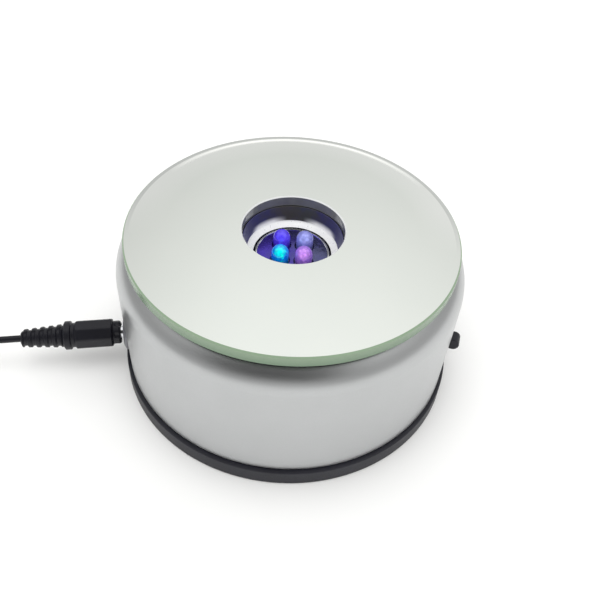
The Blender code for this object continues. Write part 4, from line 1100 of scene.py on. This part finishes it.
def outline_of(node, into):
    """The (radius, height) outline of a CAD node that is round about the Z axis of a frame."""
    work = opened(NODES[node].data)
    work.transform(into)
    bmesh.ops.remove_doubles(work, verts=work.verts, dist=WELD)
    near = 1e-6

    def in_section(vertex):
        return abs(vertex.co.y) < near and vertex.co.x > -near

    links = {}
    for edge in work.edges:
        if all(in_section(vertex) for vertex in edge.verts):
            first, second = edge.verts
            links.setdefault(first, []).append(second)
            links.setdefault(second, []).append(first)
    ends = [vertex for vertex, others in links.items() if len(others) == 1]
    walk = [ends[0] if ends else next(iter(links))]
    while True:
        ahead = [vertex for vertex in links[walk[-1]] if vertex not in walk]
        if not ahead:
            break
        walk.append(ahead[0])
    outline = [(abs(round(v.co.x / MM, 3)), round(v.co.z / MM, 3)) for v in walk]
    work.free()
    if ends and outline[0][0] > 0:
        outline.insert(0, (0.0, outline[0][1]))
    if ends and outline[-1][0] > 0:
        outline.append((0.0, outline[-1][1]))
    return outline


def turn_finely(node, rounding, frame_matrix=None, steps=MEDIUM):
    """A smooth copy of a round CAD node with its corners rounded."""
    if frame_matrix is None:
        spot = centre(node)
        frame_matrix = Matrix.Translation((spot.x * MM, spot.y * MM, 0))
    corners = [(*point, rounding) for point in outline_of(node, frame_matrix.inverted())]
    mesh = lathe("fine_" + node, corners, steps)
    mesh.transform(frame_matrix)
    return mesh


def round_off(node):
    """A copy of a CAD wire or spring whose bends and section are rounded by subdivision."""
    made = stand_in("fine_" + node, NODES[node].data.copy(), node)
    weld = made.modifiers.new("Weld", "WELD")
    weld.merge_threshold = WELD
    round_step = made.modifiers.new("Round", "SUBSURF")
    round_step.levels = 2
    round_step.render_levels = 2
    made.modifiers.move(made.modifiers.find("Flat faces"), len(made.modifiers) - 1)


def build_gearbox_screws():
    """The gearbox's screws, whose heads get a cross recess."""
    for number in (1, 2, 3):
        node = f"gearbox_screw_{number}"
        mesh = turn_finely(node, 0.3)
        spot, top = centre(node), box(node)[1].z
        arms = cross_recess(1.1, 0.24, top - 0.7, top + 1, 25 * number)
        mesh = carved(mesh, [moved(arm, spot.x, spot.y) for arm in arms])
        stand_in("fine_" + node, mesh, node)


def build_control_board():
    """The board with its small soldered parts and two capacitor cans."""
    low, high = box("control_board")
    mesh = rounded_box("board", low, high, 0.15, 2)
    top, sunk = high.z, high.z - 0.3
    length, width, height = 2.0, 1.2, 0.6
    bumps = []
    for x, y in ((-8, -20), (-4, -20), (0, -20), (-8, -16.5), (-4, -16.5), (16, -20), (20, -20), (20, -16)):
        bumps.append(rounded_box("part", (x, y, sunk), (x + length, y + width, top + height), 0.08, 2))
    can_r, can_height = 1.9, 3.2
    for x, y in ((15, -3), (-9, 0)):
        bumps.append(upright(rod(can_r, sunk, top + can_height, 0.4), Vector((x, y))))
    mesh = carved(mesh, (), bumps)
    looks = [LOOKS["circuit_board"], LOOKS["black_abs"], LOOKS["steel"]]
    stand_in("fine_control_board", mesh, "control_board", looks)
    cans_from_y = -6
    for face in mesh.polygons:
        middle = face.center / MM
        if middle.z > top + 0.01:
            face.material_index = 2 if middle.y > cans_from_y else 1


def build_control_chip():
    """A moulded chip with eight tinned legs."""
    low, high = box("control_chip")
    inset = 0.9
    body_low, body_high = low + Vector((0, inset, 0.15)), high - Vector((0, inset, 0))
    mesh = rounded_box("chip", body_low, body_high, 0.12, 2)
    legs = []
    pitch = (high.x - low.x) / 4
    leg_half, leg_long, leg_top = 0.25, 1.1, low.z + 0.55
    for i in range(4):
        x = low.x + pitch * (i + 0.5)
        for y in (low.y, high.y - leg_long):
            far = (x + leg_half, y + leg_long, leg_top)
            legs.append(rounded_box("leg", (x - leg_half, y, low.z), far, 0.06, 2))
    mesh = carved(mesh, (), legs)
    stand_in("fine_control_chip", mesh, "control_chip", [LOOKS["black_abs"], LOOKS["steel"]])
    for face in mesh.polygons:
        y = face.center.y / MM
        if y < body_low.y - 0.01 or y > body_high.y + 0.01:
            face.material_index = 1


def refine_the_rest():
    """Soft edges and smooth round shapes for the hidden pieces."""
    for nodes, width in (
        (("hub_gear", "output_pinion", "first_gear", "second_gear", "third_gear", "motor_pinion"), 0.06),
        (("gearbox_lower_plate", "gearbox_upper_plate"), 0.2),
        (("contact_positive", "contact_negative", "contact_bridge_left", "contact_bridge_right"), 0.12),
        (("switch_body",), 0.3),
    ):
        for node in nodes:
            refine(node, width)
    for node, rounding in (
        ("light_column", 0.3), ("thrust_washer", 0.25), ("motor_can", 0.5), ("motor_endcap", 0.25),
        ("led_board", 0.15), ("first_axle", 0.15), ("second_axle", 0.15),
    ):
        stand_in("fine_" + node, turn_finely(node, rounding), node)
    for node, rounding in (("jack_nut", 0.25), ("jack_pin", 0.2)):
        stand_in("fine_" + node, turn_finely(node, rounding, jack_frame(), SMALL), node)
    for node, slot in SLOT_OF.items():
        if slot in ("red_wire", "black_wire") or node.startswith("contact_spring"):
            round_off(node)
    build_gearbox_screws()
    build_control_board()
    build_control_chip()


# ---------------------------------------------------------------- floor, light and camera
FLOOR_CLEARANCE = 0.05


def build_floor():
    """A pale sweep, solid from above and clear from below so that the underside can be seen."""
    work = bmesh.new()
    bmesh.ops.create_grid(work, x_segments=8, y_segments=8, size=4.0)
    mesh = mesh_from(work, "floor")
    floor = place_object("floor", mesh)
    look = Look("white_sweep")
    look.colour(look.noise(60, 4), (0.86, 0.86, 0.855), (0.88, 0.88, 0.875))
    look.rough(look.noise(2), 0.55, 0.7)
    below = look.add("ShaderNodeNewGeometry").outputs["Backfacing"]
    look.set("Alpha", look.math("SUBTRACT", 1.0, below))
    mesh.materials.append(look.material)
    floor.location.z = -FLOOR_CLEARANCE * MM


def build_world():
    """A bright room above and behind, and a darker one in front, where the viewer stands. Only mirrored
    rays see the room: other rays see an even level, and the camera sees the backdrop's own."""
    even_level, backdrop_level = 1.04, 0.89
    world = bpy.data.worlds.new("studio")
    bpy.context.scene.world = world
    world.use_nodes = True
    tree = world.node_tree
    direction = add_node(tree, "ShaderNodeTexCoord").outputs["Generated"]
    x, y, z = add_node(tree, "ShaderNodeSeparateXYZ", {"Vector": direction}).outputs

    def ease(value, low, high, start, end):
        """Goes smoothly from low to high between two values."""
        values = {"Value": value, "From Min": start, "From Max": end, "To Min": low, "To Max": high}
        return add_node(tree, "ShaderNodeMapRange", values, interpolation_type="SMOOTHSTEP").outputs["Result"]

    def product(result, *others):
        for other in others:
            result = add_node(tree, "ShaderNodeMath", {0: result, 1: other}, operation="MULTIPLY").outputs[0]
        return result

    front = ease(y, 1.0, 0.0, -0.5, 0.0)
    ahead = product(ease(x, 0.0, 1.0, -0.95, -0.35), ease(x, 1.0, 0.0, 0.2, 0.75))
    raised = ease(z, 0.0, 1.0, 0.12, 0.52)
    keep = ease(product(front, ahead, raised), 1.0, 0.04, 0.0, 1.0)
    overhead = ease(z, 0.62, 1.12, 0.35, 0.85)
    sides = product(ease(x, 0.74, 1.0, -0.38, -0.05), ease(x, 1.0, 0.84, 0.08, 0.42))
    rays = add_node(tree, "ShaderNodeLightPath").outputs
    values = {"Factor": rays["Is Glossy Ray"], "A": even_level, "B": product(overhead, sides, keep)}
    lit = add_node(tree, "ShaderNodeMix", values).outputs["Result"]
    values = {"Factor": rays["Is Camera Ray"], "A": lit, "B": backdrop_level}
    shown = add_node(tree, "ShaderNodeMix", values).outputs["Result"]
    background = tree.nodes["Background"]
    tree.links.new(shown, background.inputs["Strength"])
    background.inputs["Color"].default_value = (1.0, 1.0, 0.99, 1)


def build_lamp():
    """A wide soft lamp overhead that points at the stand and doesn't show in its mirror."""
    place = Vector((-0.05, -0.12, 0.9))
    lamp = bpy.data.lights.new("overhead", "AREA")
    lamp.shape = "SQUARE"
    lamp.size = 0.6
    lamp.energy = 3.2
    made = place_object("overhead", lamp)
    made.location = place
    made.rotation_euler = (-place).to_track_quat("-Z", "Y").to_euler()
    made.visible_glossy = False


def build_camera():
    """The viewer looks down at the stand from the front, with the camera rolled slightly."""
    place, tilt, roll = (0.0028155, -0.1527605, 0.1770363), 46.226, 4.24
    camera = bpy.data.cameras.new("camera")
    camera.lens = 42.0
    camera.sensor_width = 36.0
    camera.shift_y = -0.0355
    camera.clip_start = 0.01
    made = place_object("camera", camera)
    turned = Matrix.Rotation(math.radians(tilt), 4, "X") @ Matrix.Rotation(math.radians(roll), 4, "Z")
    made.matrix_world = Matrix.Translation(place) @ turned
    bpy.context.scene.camera = made


finish_cad_nodes()
refine_the_rest()
build_glass()
build_platter()
build_drum()
build_base()
build_feet()
build_cup()
build_disc()
build_leds()
build_jack()
build_plug()
build_plug_barrel()
build_cable()
build_knob()
build_screws()
build_door()
build_floor()
build_world()
build_lamp()
build_camera()
bpy.context.scene.view_settings.view_transform = "Standard"
